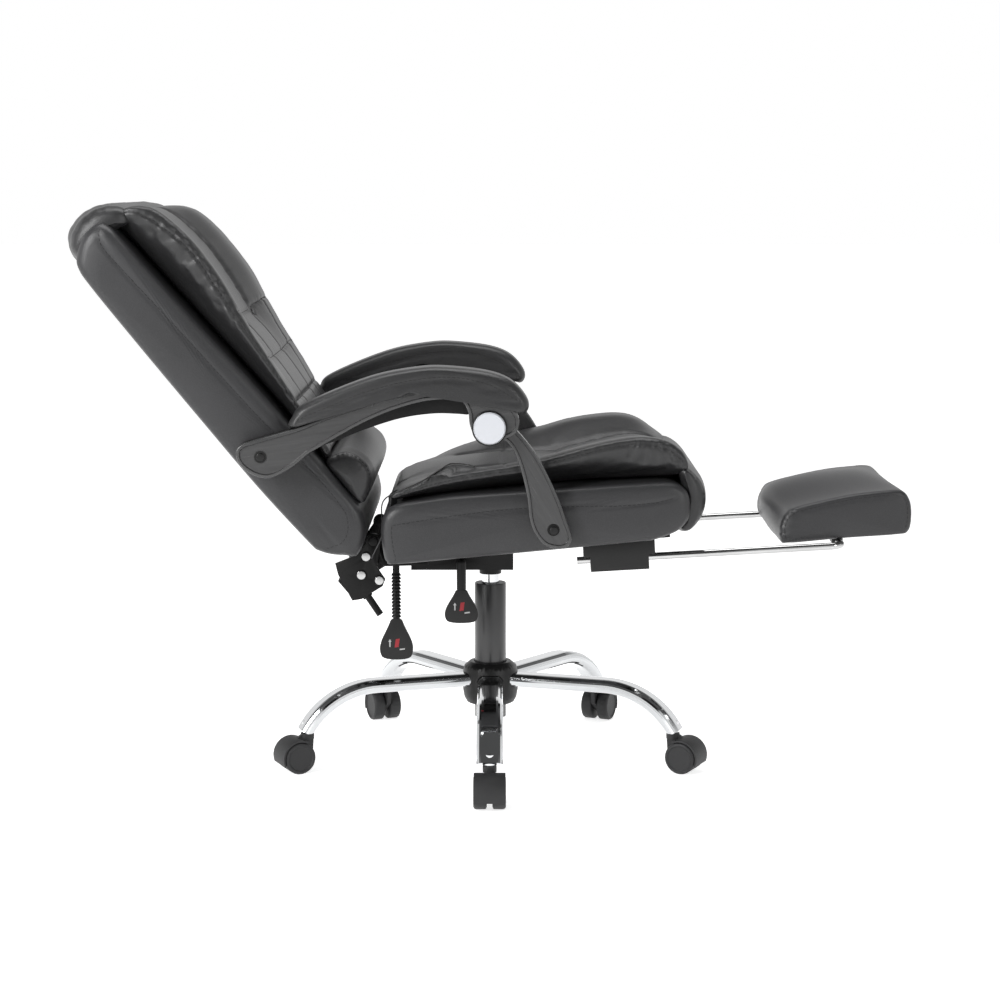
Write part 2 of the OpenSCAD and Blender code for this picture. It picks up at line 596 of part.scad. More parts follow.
// Bracket outline as shares of the ear's radius, x forwards and z up in the back's own frame
bracket_shares = [[-5.9, 0.95], [-6.6, -0.5], [-7.4, -4.4], [-6.3, -5.05], [-3.0, -5.5], [-2.1, -5.0],
    [-1.9, -3.0], [-2.4, -0.2]];
function bracket_pts_xz() = sized(bracket_shares, ear_r, ear_r);
bracket_bolt_shares = [[-4.2, -2.5], [-2.8, -4.6], [-2.1, -1.0]];
function bracket_bolt_places() = sized(bracket_bolt_shares, ear_r, ear_r);
module back_bracket() color("dimgray") back_frame() difference() {
    union() {
        for (s = [-1, 1]) translate([0, s * plate_in + (s > 0 ? plate_t : 0), 0]) rotate([90, 0, 0])
            linear_extrude(plate_t) bracket_profile();
        translate([-ear_r * 7.2, -plate_in - cut, -ear_r * 4.3])
            cube([plate_t, (plate_in + cut) * 2, ear_r * 3]);
        translate([-ear_r * 7.2, -plate_in - cut, -ear_r * 1.5])
            cube([ear_r * 7.2 + tongue_n, (plate_in + cut) * 2, plate_t]);
        translate([tongue_n - plate_t, -plate_in - cut, -ear_r * 1.5])
            cube([plate_t, (plate_in + cut) * 2, tongue_up + ear_r * 1.5]);
    }
    for (p = back_screw_places()) translate([tongue_n - plate_t * 2, p.x, p.y]) rotate([0, 90, 0])
        cylinder(r = screw_r + run_gap, h = plate_t * 3);
}
function back_screw_places() = [for (s = [-1, 1], k = [0.45, 0.85]) [s * ear_half * 0.7, tongue_up * k]];
module back_screws() color("silver") back_frame() {
    for (p = back_screw_places())
        translate([tongue_n - plate_t - screw_head_h, p.x, p.y]) rotate([0, 90, 0]) {
            cylinder(r = screw_head_r, h = screw_head_h);
            cylinder(r = screw_r, h = screw_head_h + plate_t + back_board_t * 0.6);
        }
    for (s = [-1, 1], p = bracket_bolt_places()) translate([p.x, s * plate_in, p.y]) rotate([-90 * s, 0, 0]) {
        cylinder(r = pin_r * 0.8, h = plate_t + bolt_head_h / 2);
        translate([0, 0, plate_t]) cylinder(r = bolt_head_r, h = bolt_head_h * 0.8);
    }
}
stub_r = 5.5;
stub_collar_r = 8;
module bracket_stub() color("dimgray") back_frame()
    translate([-ear_r * 5.4, -plate_in + stub_collar_r + seat_gap, -ear_r * 3.9]) rotate([0, 186, 0]) {
        cylinder(r = stub_r, h = ear_r * 4.5);
        cylinder(r = stub_collar_r, h = ear_r * 1.6);
    }
module back_board() color("burlywood") back_frame() difference() {
    translate([tongue_n, -back_board_half, back_board_low])
        cube([back_board_t, back_board_half * 2, back_board_l]);
    for (p = back_screw_places()) translate([tongue_n - cut, p.x, p.y]) rotate([0, 90, 0])
        cylinder(r = screw_r + run_gap, h = back_board_t + cut);
    for (s = [-1, 1]) translate([tongue_n + back_board_t / 2, s * back_board_half, arm_bolt_up])
        rotate([90, 0, 0]) cylinder(r = pin_r + run_gap, h = rail_w * 2, center = true);
}
back_low = 10;
back_base_shares = [[0.003, -0.36], [0, -0.12], [0.02, 0.12], [0.06, 0.29], [0.12, 0.35], [0.95, 0.21],
    [1, 0.2], [1, -0.12], [0.985, -0.46], [0.94, -0.6], [0.47, -0.66], [0.1, -0.6], [0.035, -0.46]];
front_foot_share = 0.35;
front_fall_share = 0.14;
front_from_share = 0.12;
front_to_share = 0.95;
// How far the front of the back stands ahead of the hinge line, at a height up the back
function front_n(up) = back_t * (front_foot_share
    - front_fall_share * ((up - back_low) / back_l - front_from_share) / (front_to_share - front_from_share));
// Outlines of the back are given as [up, out]; soft() draws along X, so the piece is stood up
module stood() rotate([0, -90, 0]) mirror([0, 0, 1]) children();
function on_front(shares, low, length, t) = [for (s = shares)
    let (up = low + s.x * length) [up, front_n(up) + soft_gap + s.y * t]];
module back_base_cushion() color("dimgray") back_frame() difference() {
    outline = [for (s = back_base_shares) [back_low + s.x * back_l, s.y * back_t]];
    stood() soft(outline, outline, back_w / 2, back_t * 0.2, 0.74, -back_t * 0.2, 0, back_w * 0.008);
    translate([tongue_n - soft_gap, -back_board_half - soft_gap, 0])
        cube([back_board_t + soft_gap * 2, (back_board_half + soft_gap) * 2,
            back_board_low + back_board_l + soft_gap]);
    translate([tongue_n - plate_t - screw_head_h - soft_gap, -plate_in - cut - soft_gap, 0])
        cube([plate_t + screw_head_h + soft_gap * 2, (plate_in + cut + soft_gap) * 2, tongue_up + soft_gap]);
    for (s = [-1, 1]) translate([tongue_n + back_board_t / 2, s * back_w / 2, arm_bolt_up]) rotate([90, 0, 0])
        cylinder(r = pin_r + soft_gap, h = back_w - back_board_half * 2, center = true);
}
pillow_low = 398;
pillow_l = 226;
pillow_shares = [[0, 0], [-0.01, 0.6], [0.12, 0.84], [0.42, 0.96], [0.72, 1.06], [0.93, 0.72], [1, 0]];
pillow_middle_shares = [[0, 0], [0, 0.36], [0.12, 0.62], [0.42, 0.82], [0.72, 0.94], [0.93, 0.66], [1, 0]];
module head_pillow() color("dimgray") back_frame() stood()
    soft(on_front(pillow_middle_shares, pillow_low, pillow_l, pillow_t),
        on_front(pillow_shares, pillow_low, pillow_l, pillow_t),
        back_w * 0.46, pillow_t * 0.45, 0.35, front_n(pillow_low + pillow_l / 2), pillow_t * 0.08,
        back_w * 0.015);
panel_low = 147;
panel_l = 249;
panel_shares = [[0, 0], [0.02, 0.5], [0.3, 0.82], [0.62, 1.12], [0.95, 1.08], [1, 0.66], [1, 0]];
panel_middle_shares = [[0, 0], [0.02, 0.3], [0.3, 0.52], [0.62, 0.72], [0.95, 0.72], [1, 0.4], [1, 0]];
module back_panel() color("dimgray") back_frame() stood()
    soft(on_front(panel_middle_shares, panel_low, panel_l, panel_t),
        on_front(panel_shares, panel_low, panel_l, panel_t),
        back_w * 0.455, panel_t * 0.7, 0.35, front_n(panel_low + panel_l / 2), panel_t * 0.12, back_w * 0.02);
lumbar_low = 64;
lumbar_l = 82;
lumbar_shares = [[0.03, -0.026], [0.06, 0.4], [0.2, 0.86], [0.46, 1.08], [0.74, 1.08], [0.98, 0.8],
    [1, -0.026]];
module lumbar_roll() color("dimgray") back_frame() stood() {
    outline = on_front(lumbar_shares, lumbar_low, lumbar_l, lumbar_t);
    soft(outline, outline, back_w * 0.46, lumbar_t * 1.1, 0.42, front_n(lumbar_low + lumbar_l / 2));
}
// Wrap over the top of the back: inner line first, then the outer line back again
wrap_shares = [[0.955, -0.655], [0.986, -0.48], [1.0025, -0.13], [1.0025, 0.2], [0.993, 0.5], [1.028, 0.32],
    [1.063, 0], [1.079, -0.34], [1.066, -0.64], [1.031, -0.82], [0.983, -0.8]];
wrap_edge_shares = [[0.955, -0.655], [0.986, -0.48], [1.0025, -0.13], [1.0025, 0.2], [1.0, 0.3], [1.02, 0.28],
    [1.028, 0], [1.03, -0.2], [1.02, -0.5], [1.0, -0.64], [0.966, -0.74]];
module head_wrap() color("dimgray") back_frame() stood() {
    mid = [for (s = wrap_shares) [back_low + s.x * back_l, s.y * back_t]];
    edge = [for (s = wrap_edge_shares) [back_low + s.x * back_l, s.y * back_t]];
    soft_band(mid, edge, back_w * 0.45);
}
band_stations = [0, 0.45, 0.78, 0.93, 1];
module soft_band(mid, edge, half) {
    n = len(band_stations);
    stations = concat([for (i = [n - 1 : -1 : 1]) -band_stations[i]], band_stations);
    skin([for (s = stations) [for (p = rounded(mix(mid, edge, pow(abs(s), 4)))) [p.x, s * half, p.y]]]);
}

// Arms
arm_a = [-hinge_x, hinge_h] + [-sin(back_lean), cos(back_lean)] * arm_bolt_up
    + [cos(back_lean), sin(back_lean)] * (tongue_n + back_board_t / 2);
arm_c = [post_x, post_h];
// Where the arm and the post meet: the upper crossing of the two pivots' circles
arm_b = let (d = arm_c - arm_a, g = norm(d), a = (arm_l * arm_l - post_l * post_l + g * g) / (g * 2),
    h = sqrt(arm_l * arm_l - a * a)) arm_a + d * a / g + [-d.y, d.x] * h / g;
arm_turn = atan2(arm_b.y - arm_a.y, arm_b.x - arm_a.x);
post_turn = atan2(arm_b.y - arm_c.y, arm_b.x - arm_c.x);
arm_clear = 7;
arm_in = max(seat_w, back_w) / 2 + arm_clear;
arm_out = arm_in + arm_w;
cheek_in = arm_in + post_t + side_gap;
link_gap = 1.8;
link_r = 6;
link_boss = 22;
module arm_place() translate([arm_a.x, 0, arm_a.y]) rotate([0, -arm_turn, 0]) children();
module slab(low, high) translate([0, high, 0]) rotate([90, 0, 0]) linear_extrude(high - low) children();
// Outlines of the arm as shares of the distance between its pivots
arm_shares = [[-0.108, 0.045], [-0.104, -0.02], [-0.03, -0.088], [0.03, -0.1], [0.12, -0.07], [0.25, 0.005],
    [0.44, 0.082], [0.62, 0.122], [0.8, 0.118], [0.93, 0.1], [1.02, 0.085], [1.14, 0.035], [1.1, 0.095],
    [0.98, 0.168], [0.84, 0.199], [0.72, 0.202], [0.45, 0.17], [0.17, 0.1], [-0.06, 0.075]];
cheek_shares = [[0.88, 0.14], [0.9, 0.09], [0.925, 0.03], [0.96, -0.05], [1.05, -0.05], [1.075, 0.02],
    [1.1, 0.08], [0.98, 0.15]];
module arm_frame(s) color("black") mirror([0, s < 0 ? 1 : 0, 0]) arm_place() difference() {
    union() {
        slab(arm_in, arm_out) polygon(rounded(sized(arm_shares, arm_l, arm_l)));
        slab(cheek_in, arm_out) polygon(rounded(sized(cheek_shares, arm_l, arm_l)));
        slab(cheek_in, arm_out) translate([arm_l, 0]) circle(r = link_boss);
    }
    translate([0, arm_in - cut, 0]) rotate([-90, 0, 0]) cylinder(r = pin_r + run_gap, h = arm_w + cut * 2);
    translate([0, arm_out - bolt_head_h, 0]) rotate([-90, 0, 0]) cylinder(r = bolt_head_r * 1.4, h = arm_w);
    translate([arm_l, arm_in, 0]) rotate([-90, 0, 0]) cylinder(r = link_r + link_gap, h = arm_w + cut);
}
module arm_frame_right() arm_frame(-1);
module arm_frame_left() arm_frame(1);
pad_shares = [[0.14, 0.14], [0.165, 0.115], [0.45, 0.182], [0.72, 0.212], [0.845, 0.208], [0.985, 0.178],
    [1.1, 0.105], [1.15, 0.045], [1.19, 0.08], [1.15, 0.165], [1.03, 0.25], [0.85, 0.3], [0.72, 0.31],
    [0.55, 0.3], [0.36, 0.262], [0.19, 0.2]];
pad_in = arm_out + side_gap * 3 - pad_w;
module arm_pads() color("dimgray") for (s = [-1, 1]) arm_place()
    translate([0, s * (pad_in + pad_w / 2), 0]) {
        outline = sized(pad_shares, arm_l, arm_l);
        soft(outline, outline, pad_w / 2, pad_w * 0.3, 0.72, arm_l * 0.19, 0, 0, 1, laced = true);
    }
module arm_bolts() color("black") for (s = [-1, 1]) mirror([0, s < 0 ? 1 : 0, 0]) {
    translate([arm_a.x, 0, arm_a.y]) rotate([-90, 0, 0]) {
        translate([0, 0, back_board_half - rail_w / 2])
            cylinder(r = pin_r, h = arm_out - back_board_half + rail_w / 2 - bolt_head_h / 2);
        translate([0, 0, arm_out - bolt_head_h]) cylinder(r = bolt_head_r * 1.3, h = bolt_head_h * 0.7);
        translate([0, 0, back_w / 2 + soft_gap])
            cylinder(r = bolt_head_r * 1.5, h = arm_in - back_w / 2 - soft_gap * 2);
    }
}
post_shares = [[0.98, -0.16], [0.78, -0.24], [0.5, -0.245], [0.25, -0.22], [-0.05, -0.16], [-0.16, -0.1],
    [-0.19, 0.02], [-0.09, 0.14], [0.12, 0.175], [0.28, 0.11], [0.5, -0.01], [0.75, -0.06], [0.9, 0.02]];
module arm_post(s) color("black") mirror([0, s < 0 ? 1 : 0, 0]) translate([arm_c.x, 0, arm_c.y])
    rotate([0, -post_turn, 0]) difference() {
        union() {
            slab(arm_in, arm_in + post_t) polygon(rounded(sized(post_shares, post_l, post_l)));
            slab(arm_in, arm_in + post_t) translate([post_l, 0]) circle(r = link_boss - side_gap);
            slab(arm_in - side_gap * 5, arm_in + post_t) circle(r = bolt_head_r * 1.6);
        }
        translate([0, arm_in - side_gap * 6, 0]) rotate([-90, 0, 0])
            cylinder(r = pin_r + run_gap, h = arm_w + cut);
        translate([0, arm_in + post_t - bolt_head_h, 0]) rotate([-90, 0, 0])
            cylinder(r = bolt_head_r * 1.4, h = arm_w);
        translate([post_l, arm_in + sheet_t, 0]) rotate([-90, 0, 0])
            cylinder(r = link_r + run_gap, h = arm_w);
    }
module arm_post_right() arm_post(-1);
module arm_post_left() arm_post(1);
module arm_caps() color("gainsboro") for (s = [-1, 1]) mirror([0, s < 0 ? 1 : 0, 0])
    translate([arm_b.x, 0, arm_b.y]) rotate([-90, 0, 0]) {
        translate([0, 0, arm_in + sheet_t]) cylinder(r = link_r, h = arm_w - sheet_t + side_gap * 2);
        translate([0, 0, arm_out + side_gap]) cylinder(r = cap_r, h = sheet_t);
        translate([0, 0, arm_out + side_gap + sheet_t])
            cylinder(r1 = cap_r, r2 = cap_r * 0.93, h = sheet_t * 0.8);
    }

// Footrest
guide_l = 88;
guide_half_w = 12;
guide_low = 17;
wing = 10;
corner_r = 16;
rod_tail = 10;
guide_back = rest_travel + corner_r + guide_l + wing + side_gap * 5;
slide_l = guide_back + wing + rod_tail;
module footrest_guides() color("black") difference() {
    rest_frame() for (s = [-1, 1]) translate([-guide_back, s * rod_half - guide_half_w, -guide_low]) {
        cube([guide_l, guide_half_w * 2, guide_low * 3.4]);
        translate([-wing, 0, guide_low * 1.3]) cube([guide_l + wing * 2, guide_half_w * 2, guide_low * 1.6]);
    }
    seat_frame() translate([0, -seat_w, 0]) cube([seat_l, seat_w * 2, seat_t]);
    rest_frame() for (s = [-1, 1]) translate([-guide_back - wing * 2, s * rod_half, 0]) rotate([0, 90, 0])
        cylinder(r = slide_r + run_gap, h = guide_l + wing * 4);
}
module footrest_rods() color("silver") rest_frame() for (s = [-1, 1]) mirror([0, s < 0 ? 1 : 0, 0]) {
    translate([-slide_l, rod_half, 0]) rotate([0, 90, 0]) cylinder(r = slide_r, h = slide_l - corner_r);
    translate([-corner_r, rod_half - corner_r, 0]) rotate_extrude(angle = 90)
        translate([corner_r, 0]) circle(r = slide_r);
}
module footrest_crossbar() color("silver") rest_frame() rotate([90, 0, 0])
    cylinder(r = slide_r, h = (rod_half - corner_r) * 2, center = true);
rest_rear = 90;
rest_up = 8;
saddle_y = 120;
saddle_w = 30;
saddle_t = 3;
clamp_w = 24;
clamp_r = slide_r + saddle_t;
clamp_shares = [[-1, -0.4], [-0.4, -1], [0.4, -1], [1, -0.4]];
foot_board_t = 9;
rest_tilt = 3.5;
module on_crossbar() rest_frame() translate([0, 0, rest_up]) rotate([0, -rest_tilt, 0]) children();
module footrest_saddles() color("black") difference() {
    for (s = [-1, 1]) {
        on_crossbar() translate([-saddle_w, s * saddle_y - saddle_w / 2, -saddle_t])
            cube([saddle_w * 2, saddle_w, saddle_t]);
        rest_frame() translate([0, s * saddle_y + clamp_w / 2, 0]) rotate([90, 0, 0])
            linear_extrude(clamp_w) polygon(concat(sized(clamp_shares, clamp_r, clamp_r),
                [[clamp_r, rest_up - saddle_t / 2], [-clamp_r, rest_up - saddle_t / 2]]));
    }
    rest_frame() rotate([90, 0, 0]) cylinder(r = slide_r + run_gap, h = rod_half * 2, center = true);
}
module footrest_board() color("burlywood") on_crossbar()
    translate([-rest_rear + rest_l * 0.08, -rest_half * 0.9, 0])
        cube([rest_l * 0.8, rest_half * 1.8, foot_board_t]);
rest_side_shares = [[0, 0], [-0.01, 0.35], [0.05, 0.66], [0.16, 0.8], [0.5, 0.88], [0.78, 0.9], [0.97, 0.86],
    [1.01, 0.6], [1.0, 0.25], [0.96, 0], [0.5, 0]];
rest_middle_shares = [[0, 0], [-0.09, 0.6], [0, 1.02], [0.26, 1.16], [0.6, 1.16], [0.85, 1.06], [1.0, 0.8],
    [1.02, 0.5], [1.0, 0.25], [0.96, 0], [0.5, 0]];
module footrest_pad() color("dimgray") on_crossbar() difference() {
    translate([-rest_rear, 0, 0]) soft(sized(rest_middle_shares, rest_l, rest_t),
        sized(rest_side_shares, rest_l, rest_t), rest_half, rest_t * 0.26, 0.8, rest_t * 0.4, 0,
        rest_half * 0.03);
    translate([-rest_rear + rest_l * 0.08 - soft_gap, -rest_half * 0.9 - soft_gap, -cut])
        cube([rest_l * 0.8 + soft_gap * 2, rest_half * 1.8 + soft_gap * 2, foot_board_t + soft_gap + cut]);
}

base_hub();
base_legs();
hub_collar();
lift_outer_tube();
lift_bush();
lift_bearing();
lift_rod();
lift_clip();
lift_cylinder();
release_pin();
caster_hood(0);  // caster_hood_1
caster_hood(1);  // caster_hood_2
caster_hood(2);  // caster_hood_3
caster_hood(3);  // caster_hood_4
caster_hood(4);  // caster_hood_5
caster_pins(0);  // caster_pins_1
caster_pins(1);  // caster_pins_2
caster_pins(2);  // caster_pins_3
caster_pins(3);  // caster_pins_4
caster_pins(4);  // caster_pins_5
caster_wheels(0);  // caster_wheels_1
caster_wheels(1);  // caster_wheels_2
caster_wheels(2);  // caster_wheels_3
caster_wheels(3);  // caster_wheels_4
caster_wheels(4);  // caster_wheels_5
mechanism_pan();
hinge_ears();
pivot_bolts();
seat_screws();
seat_board();
seat_base_cushion();
seat_top_cushion();
seat_front_roll();
footrest_guides();
massage_cord();
height_lever();
height_paddle();
recline_lever();
recline_paddle();
back_bracket();
back_board();
back_screws();
bracket_stub();
back_base_cushion();
head_pillow();
head_wrap();
back_panel();
lumbar_roll();
arm_frame_right();
arm_frame_left();
arm_pads();
arm_bolts();
arm_post_right();
arm_post_left();
arm_caps();
footrest_rods();
footrest_crossbar();
footrest_saddles();
footrest_board();
footrest_pad();
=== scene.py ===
"""Reclining office chair with a slide-out footrest: its looks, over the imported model.
Metres. The chair faces +X and the camera looks at its right side."""
import json
import math
import random

import bpy
import numpy as np
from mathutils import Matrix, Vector
from mathutils.bvhtree import BVHTree

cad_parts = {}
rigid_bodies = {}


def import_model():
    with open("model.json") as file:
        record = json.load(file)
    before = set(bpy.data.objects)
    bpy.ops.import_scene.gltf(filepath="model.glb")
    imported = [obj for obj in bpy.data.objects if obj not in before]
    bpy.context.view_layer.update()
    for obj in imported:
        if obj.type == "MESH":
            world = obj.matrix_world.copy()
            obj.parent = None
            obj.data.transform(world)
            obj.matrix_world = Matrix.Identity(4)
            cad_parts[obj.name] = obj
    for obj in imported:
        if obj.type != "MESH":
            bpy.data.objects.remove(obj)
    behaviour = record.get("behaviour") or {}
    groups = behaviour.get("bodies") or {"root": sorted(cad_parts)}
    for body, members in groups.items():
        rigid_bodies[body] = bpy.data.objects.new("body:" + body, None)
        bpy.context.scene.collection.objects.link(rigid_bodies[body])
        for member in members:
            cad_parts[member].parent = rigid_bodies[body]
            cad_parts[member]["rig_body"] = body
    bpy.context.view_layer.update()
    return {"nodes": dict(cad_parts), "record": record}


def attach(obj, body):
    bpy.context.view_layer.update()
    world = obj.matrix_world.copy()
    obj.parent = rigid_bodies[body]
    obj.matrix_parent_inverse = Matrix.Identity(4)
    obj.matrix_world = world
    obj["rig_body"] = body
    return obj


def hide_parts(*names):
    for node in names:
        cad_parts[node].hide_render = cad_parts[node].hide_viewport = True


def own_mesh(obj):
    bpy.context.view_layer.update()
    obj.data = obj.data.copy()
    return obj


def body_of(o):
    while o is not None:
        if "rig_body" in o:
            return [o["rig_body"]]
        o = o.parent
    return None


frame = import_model()
nodes = frame["nodes"]
scene = bpy.context.scene
MM = 0.001
NEAR, FAR = -1, 1
SIDES = ((NEAR, "near"), (FAR, "far"))
HANDS = ((NEAR, "right"), (FAR, "left"))
CAMERA_PITCH = 7.815
# Frames of the seat, the back and the arms: where they start, in mm, and their tilt in degrees
SEAT_HEIGHT, SEAT_RAKE = 363, 5.2
BACK_FOOT_X, BACK_FOOT_Z, BACK_LEAN = -179, 366, 39.6
ARM_PIVOT_X, ARM_PIVOT_Z, ARM_RISE = -334, 517.6, 7.18

# Camera of the photograph
lens = bpy.data.cameras.new("photo_camera")
lens.lens, lens.sensor_width = 83.85, 36
camera = bpy.data.objects.new("photo_camera", lens)
camera.location = (0.0153, -3.6586, 0.9171)
camera.rotation_euler = (math.radians(90 - CAMERA_PITCH), 0, 0)
scene.collection.objects.link(camera)
scene.camera = camera


# ---- places on the chair
def cos_sin(degrees):
    return math.cos(math.radians(degrees)), math.sin(math.radians(degrees))


def tilted(origin_x, origin_z, degrees):
    """Place in a frame tilted back by degrees: along it, square to it, and across the chair."""
    c, s = cos_sin(degrees)

    def place(along, up, y):
        return ((origin_x + along * c - up * s) * MM, y * MM, (origin_z + along * s + up * c) * MM)
    return place


on_seat = tilted(0, SEAT_HEIGHT, SEAT_RAKE)
on_footrest = tilted(378, 362, 3.25)
on_arm = tilted(ARM_PIVOT_X, ARM_PIVOT_Z, ARM_RISE)


def on_back(up, out, y):
    """Place on the leaning back: up it, out from it, and across the chair."""
    c, s = cos_sin(BACK_LEAN)
    return ((BACK_FOOT_X - up * s + out * c) * MM, y * MM, (BACK_FOOT_Z + up * c + out * s) * MM)


def at_width(place, table, y):
    """The points of a table in a frame, at one place across the chair."""
    return [place(a, b, y) for a, b in table]


def raised(table, by):
    return [(a, b + by) for a, b in table]


def both(place, table, y):
    """The same line on each half of the chair, by side."""
    return {side: at_width(place, table, y * side) for side in (NEAR, FAR)}


# ---- operator helpers
def only(obj):
    bpy.ops.object.select_all(action="DESELECT")
    obj.select_set(True)
    bpy.context.view_layer.objects.active = obj


def set_mode(mode):
    bpy.ops.object.mode_set(mode=mode)


def apply_modifiers(obj):
    only(obj)
    for modifier in list(obj.modifiers):
        bpy.ops.object.modifier_apply(modifier=modifier.name)


def bevelled(obj, width, segments, degrees=30):
    bevel = obj.modifiers.new("edges", "BEVEL")
    bevel.width, bevel.segments, bevel.limit_method = width * MM, segments, "ANGLE"
    bevel.angle_limit = math.radians(degrees)
    apply_modifiers(obj)


def normals_outward():
    """Turns the faces of the mesh in edit mode outward, and leaves the mode."""
    bpy.ops.mesh.select_all(action="SELECT")
    bpy.ops.mesh.normals_make_consistent(inside=False)
    set_mode("OBJECT")


def smooth(obj, degrees=None):
    only(obj)
    if degrees is None:
        bpy.ops.object.shade_smooth()
    else:
        bpy.ops.object.shade_smooth_by_angle(angle=math.radians(degrees))


def added(name, data):
    """A new object in the scene, selected alone."""
    obj = bpy.data.objects.new(name, data)
    scene.collection.objects.link(obj)
    only(obj)
    return obj


def coords(obj, what="co"):
    values = np.empty(len(obj.data.vertices) * 3)
    obj.data.vertices.foreach_get(what, values)
    return values.reshape(-1, 3)


def set_coords(obj, co):
    obj.data.vertices.foreach_set("co", np.asarray(co, float).ravel())
    obj.data.update()
    bpy.context.view_layer.update()


def surface(obj):
    return BVHTree.FromObject(obj, bpy.context.evaluated_depsgraph_get())


def finish_piece(obj, body, material, replaced=()):
    obj.data.materials.clear()
    obj.data.materials.append(material)
    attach(obj, body)
    if replaced:
        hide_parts(*replaced)
    return obj


def upholster(obj, body, material, replaced):
    smooth(obj)
    finish_piece(obj, body, material, replaced)


# ---- lines and rings
def curve_through(points, count, closed=False):
    """Even points on a smooth curve through the given ones."""
    p = np.array(points, float)
    n = len(p)
    spans = n if closed else n - 1
    dense = []
    for i in range(spans):
        a, b, c, d = ((p[(i + k) % n] if closed else p[min(max(i + k, 0), n - 1)]) for k in (-1, 0, 1, 2))
        for t in np.arange(12) / 12:
            dense.append((2 * b + (c - a) * t + (2 * a - 5 * b + 4 * c - d) * t * t
                          + (3 * b - a - 3 * c + d) * t ** 3) / 2)
    dense.append(p[0] if closed else p[-1])
    dense = np.array(dense)
    run = np.concatenate([[0], np.cumsum(np.linalg.norm(np.diff(dense, axis=0), axis=1))])
    at = np.linspace(0, run[-1], count, endpoint=not closed)
    return np.stack([np.interp(at, run, dense[:, k]) for k in range(p.shape[1])], axis=1)


def ease(t):
    t = min(max(t, 0), 1)
    return t * t * (3 - 2 * t)


# ---- padded pieces
def lofted(name, place, keys, half, edge, end_share, rest, around, across, dome=3):
    """Closed skin through outlines. keys are (share of the half width, outline); the near side is -1.

    Over the last edge mm of the half width the outlines round off, to end_share of their height about rest."""
    rings = [(s, curve_through(ring, around, closed=True)) for s, ring in keys]
    spots = np.linspace(-1, 1, across)
    spots = np.sign(spots) * np.abs(spots) ** 0.8
    end_rows = 9
    layers = []
    for s in spots:
        k = 0
        while k < len(rings) - 2 and s > rings[k + 1][0]:
            k += 1
        (s0, r0), (s1, r1) = rings[k], rings[k + 1]
        ring = r0 + (r1 - r0) * ease((s - s0) / (s1 - s0))
        q = max(0, (abs(s) * half - (half - edge)) / edge)
        fall = 1 - math.sqrt(max(0, 1 - q * q))
        low, high = ring.min(0), ring.max(0)
        middle, h = (low[0] + high[0]) / 2, (high[0] - low[0]) / 2
        x = middle + (ring[:, 0] - middle) * (1 - fall * min(edge / h, 0.5))
        level = np.interp(ring[:, 0], *zip(*rest)) if isinstance(rest, list) else rest
        z = level + (ring[:, 1] - level) * (1 - (1 - end_share) * fall)
        layers.append(np.stack([x, z, np.full(around, s * half)], axis=1))
    first, last = layers[0], layers[-1]

    def inner(layer, side):
        out = []
        centre = layer.mean(0)
        for k in range(1, end_rows):
            f = 1 - k / end_rows
            row = centre + (layer - centre) * f
            row[:, 2] = layer[:, 2] * f + centre[2] * (1 - f) + side * dome * (1 - f * f)
            out.append(row)
        return out, centre + np.array([0, 0, side * dome])
    near_rows, near_tip = inner(first, -1)
    far_rows, far_tip = inner(last, 1)
    layers = near_rows[::-1] + layers + far_rows
    points = [place(*p) for layer in layers for p in layer]
    faces = []
    for i in range(len(layers) - 1):
        for j in range(around):
            a, b = i * around + j, i * around + (j + 1) % around
            faces.append((a, b, b + around, a + around))
    tips = len(points)
    points += [place(*near_tip), place(*far_tip)]
    end = (len(layers) - 1) * around
    for j in range(around):
        faces.append((tips, (j + 1) % around, j))
        faces.append((tips + 1, end + j, end + (j + 1) % around))
    mesh = bpy.data.meshes.new(name)
    mesh.from_pydata(points, [], faces)
    obj = added(name, mesh)
    set_mode("EDIT")
    normals_outward()
    return obj


def nearest_on(co, line, reach=0.06):
    """Distance of each point to a line of points, and how far along the line it lies."""
    line = np.asarray(line, float)
    best = np.full(len(co), 1e9)
    at = np.zeros(len(co))
    run = 0.0
    low, high = line.min(0) - reach, line.max(0) + reach
    near = np.where(((co > low) & (co < high)).all(1))[0]
    pts = co[near]
    for a, b in zip(line[:-1], line[1:]):
        d = b - a
        length = np.linalg.norm(d)
        if length < 1e-9:
            continue
        some = np.where((np.abs(pts - (a + b) / 2) < reach + length).all(1))[0]
        t = np.clip((pts[some] - a) @ d / length ** 2, 0, 1)
        gap = np.linalg.norm(pts[some] - (a + t[:, None] * d), axis=1)
        closer = gap < best[near[some]]
        best[near[some[closer]]] = gap[closer]
        at[near[some[closer]]] = run + t[closer] * length
        run += length
    return best, at


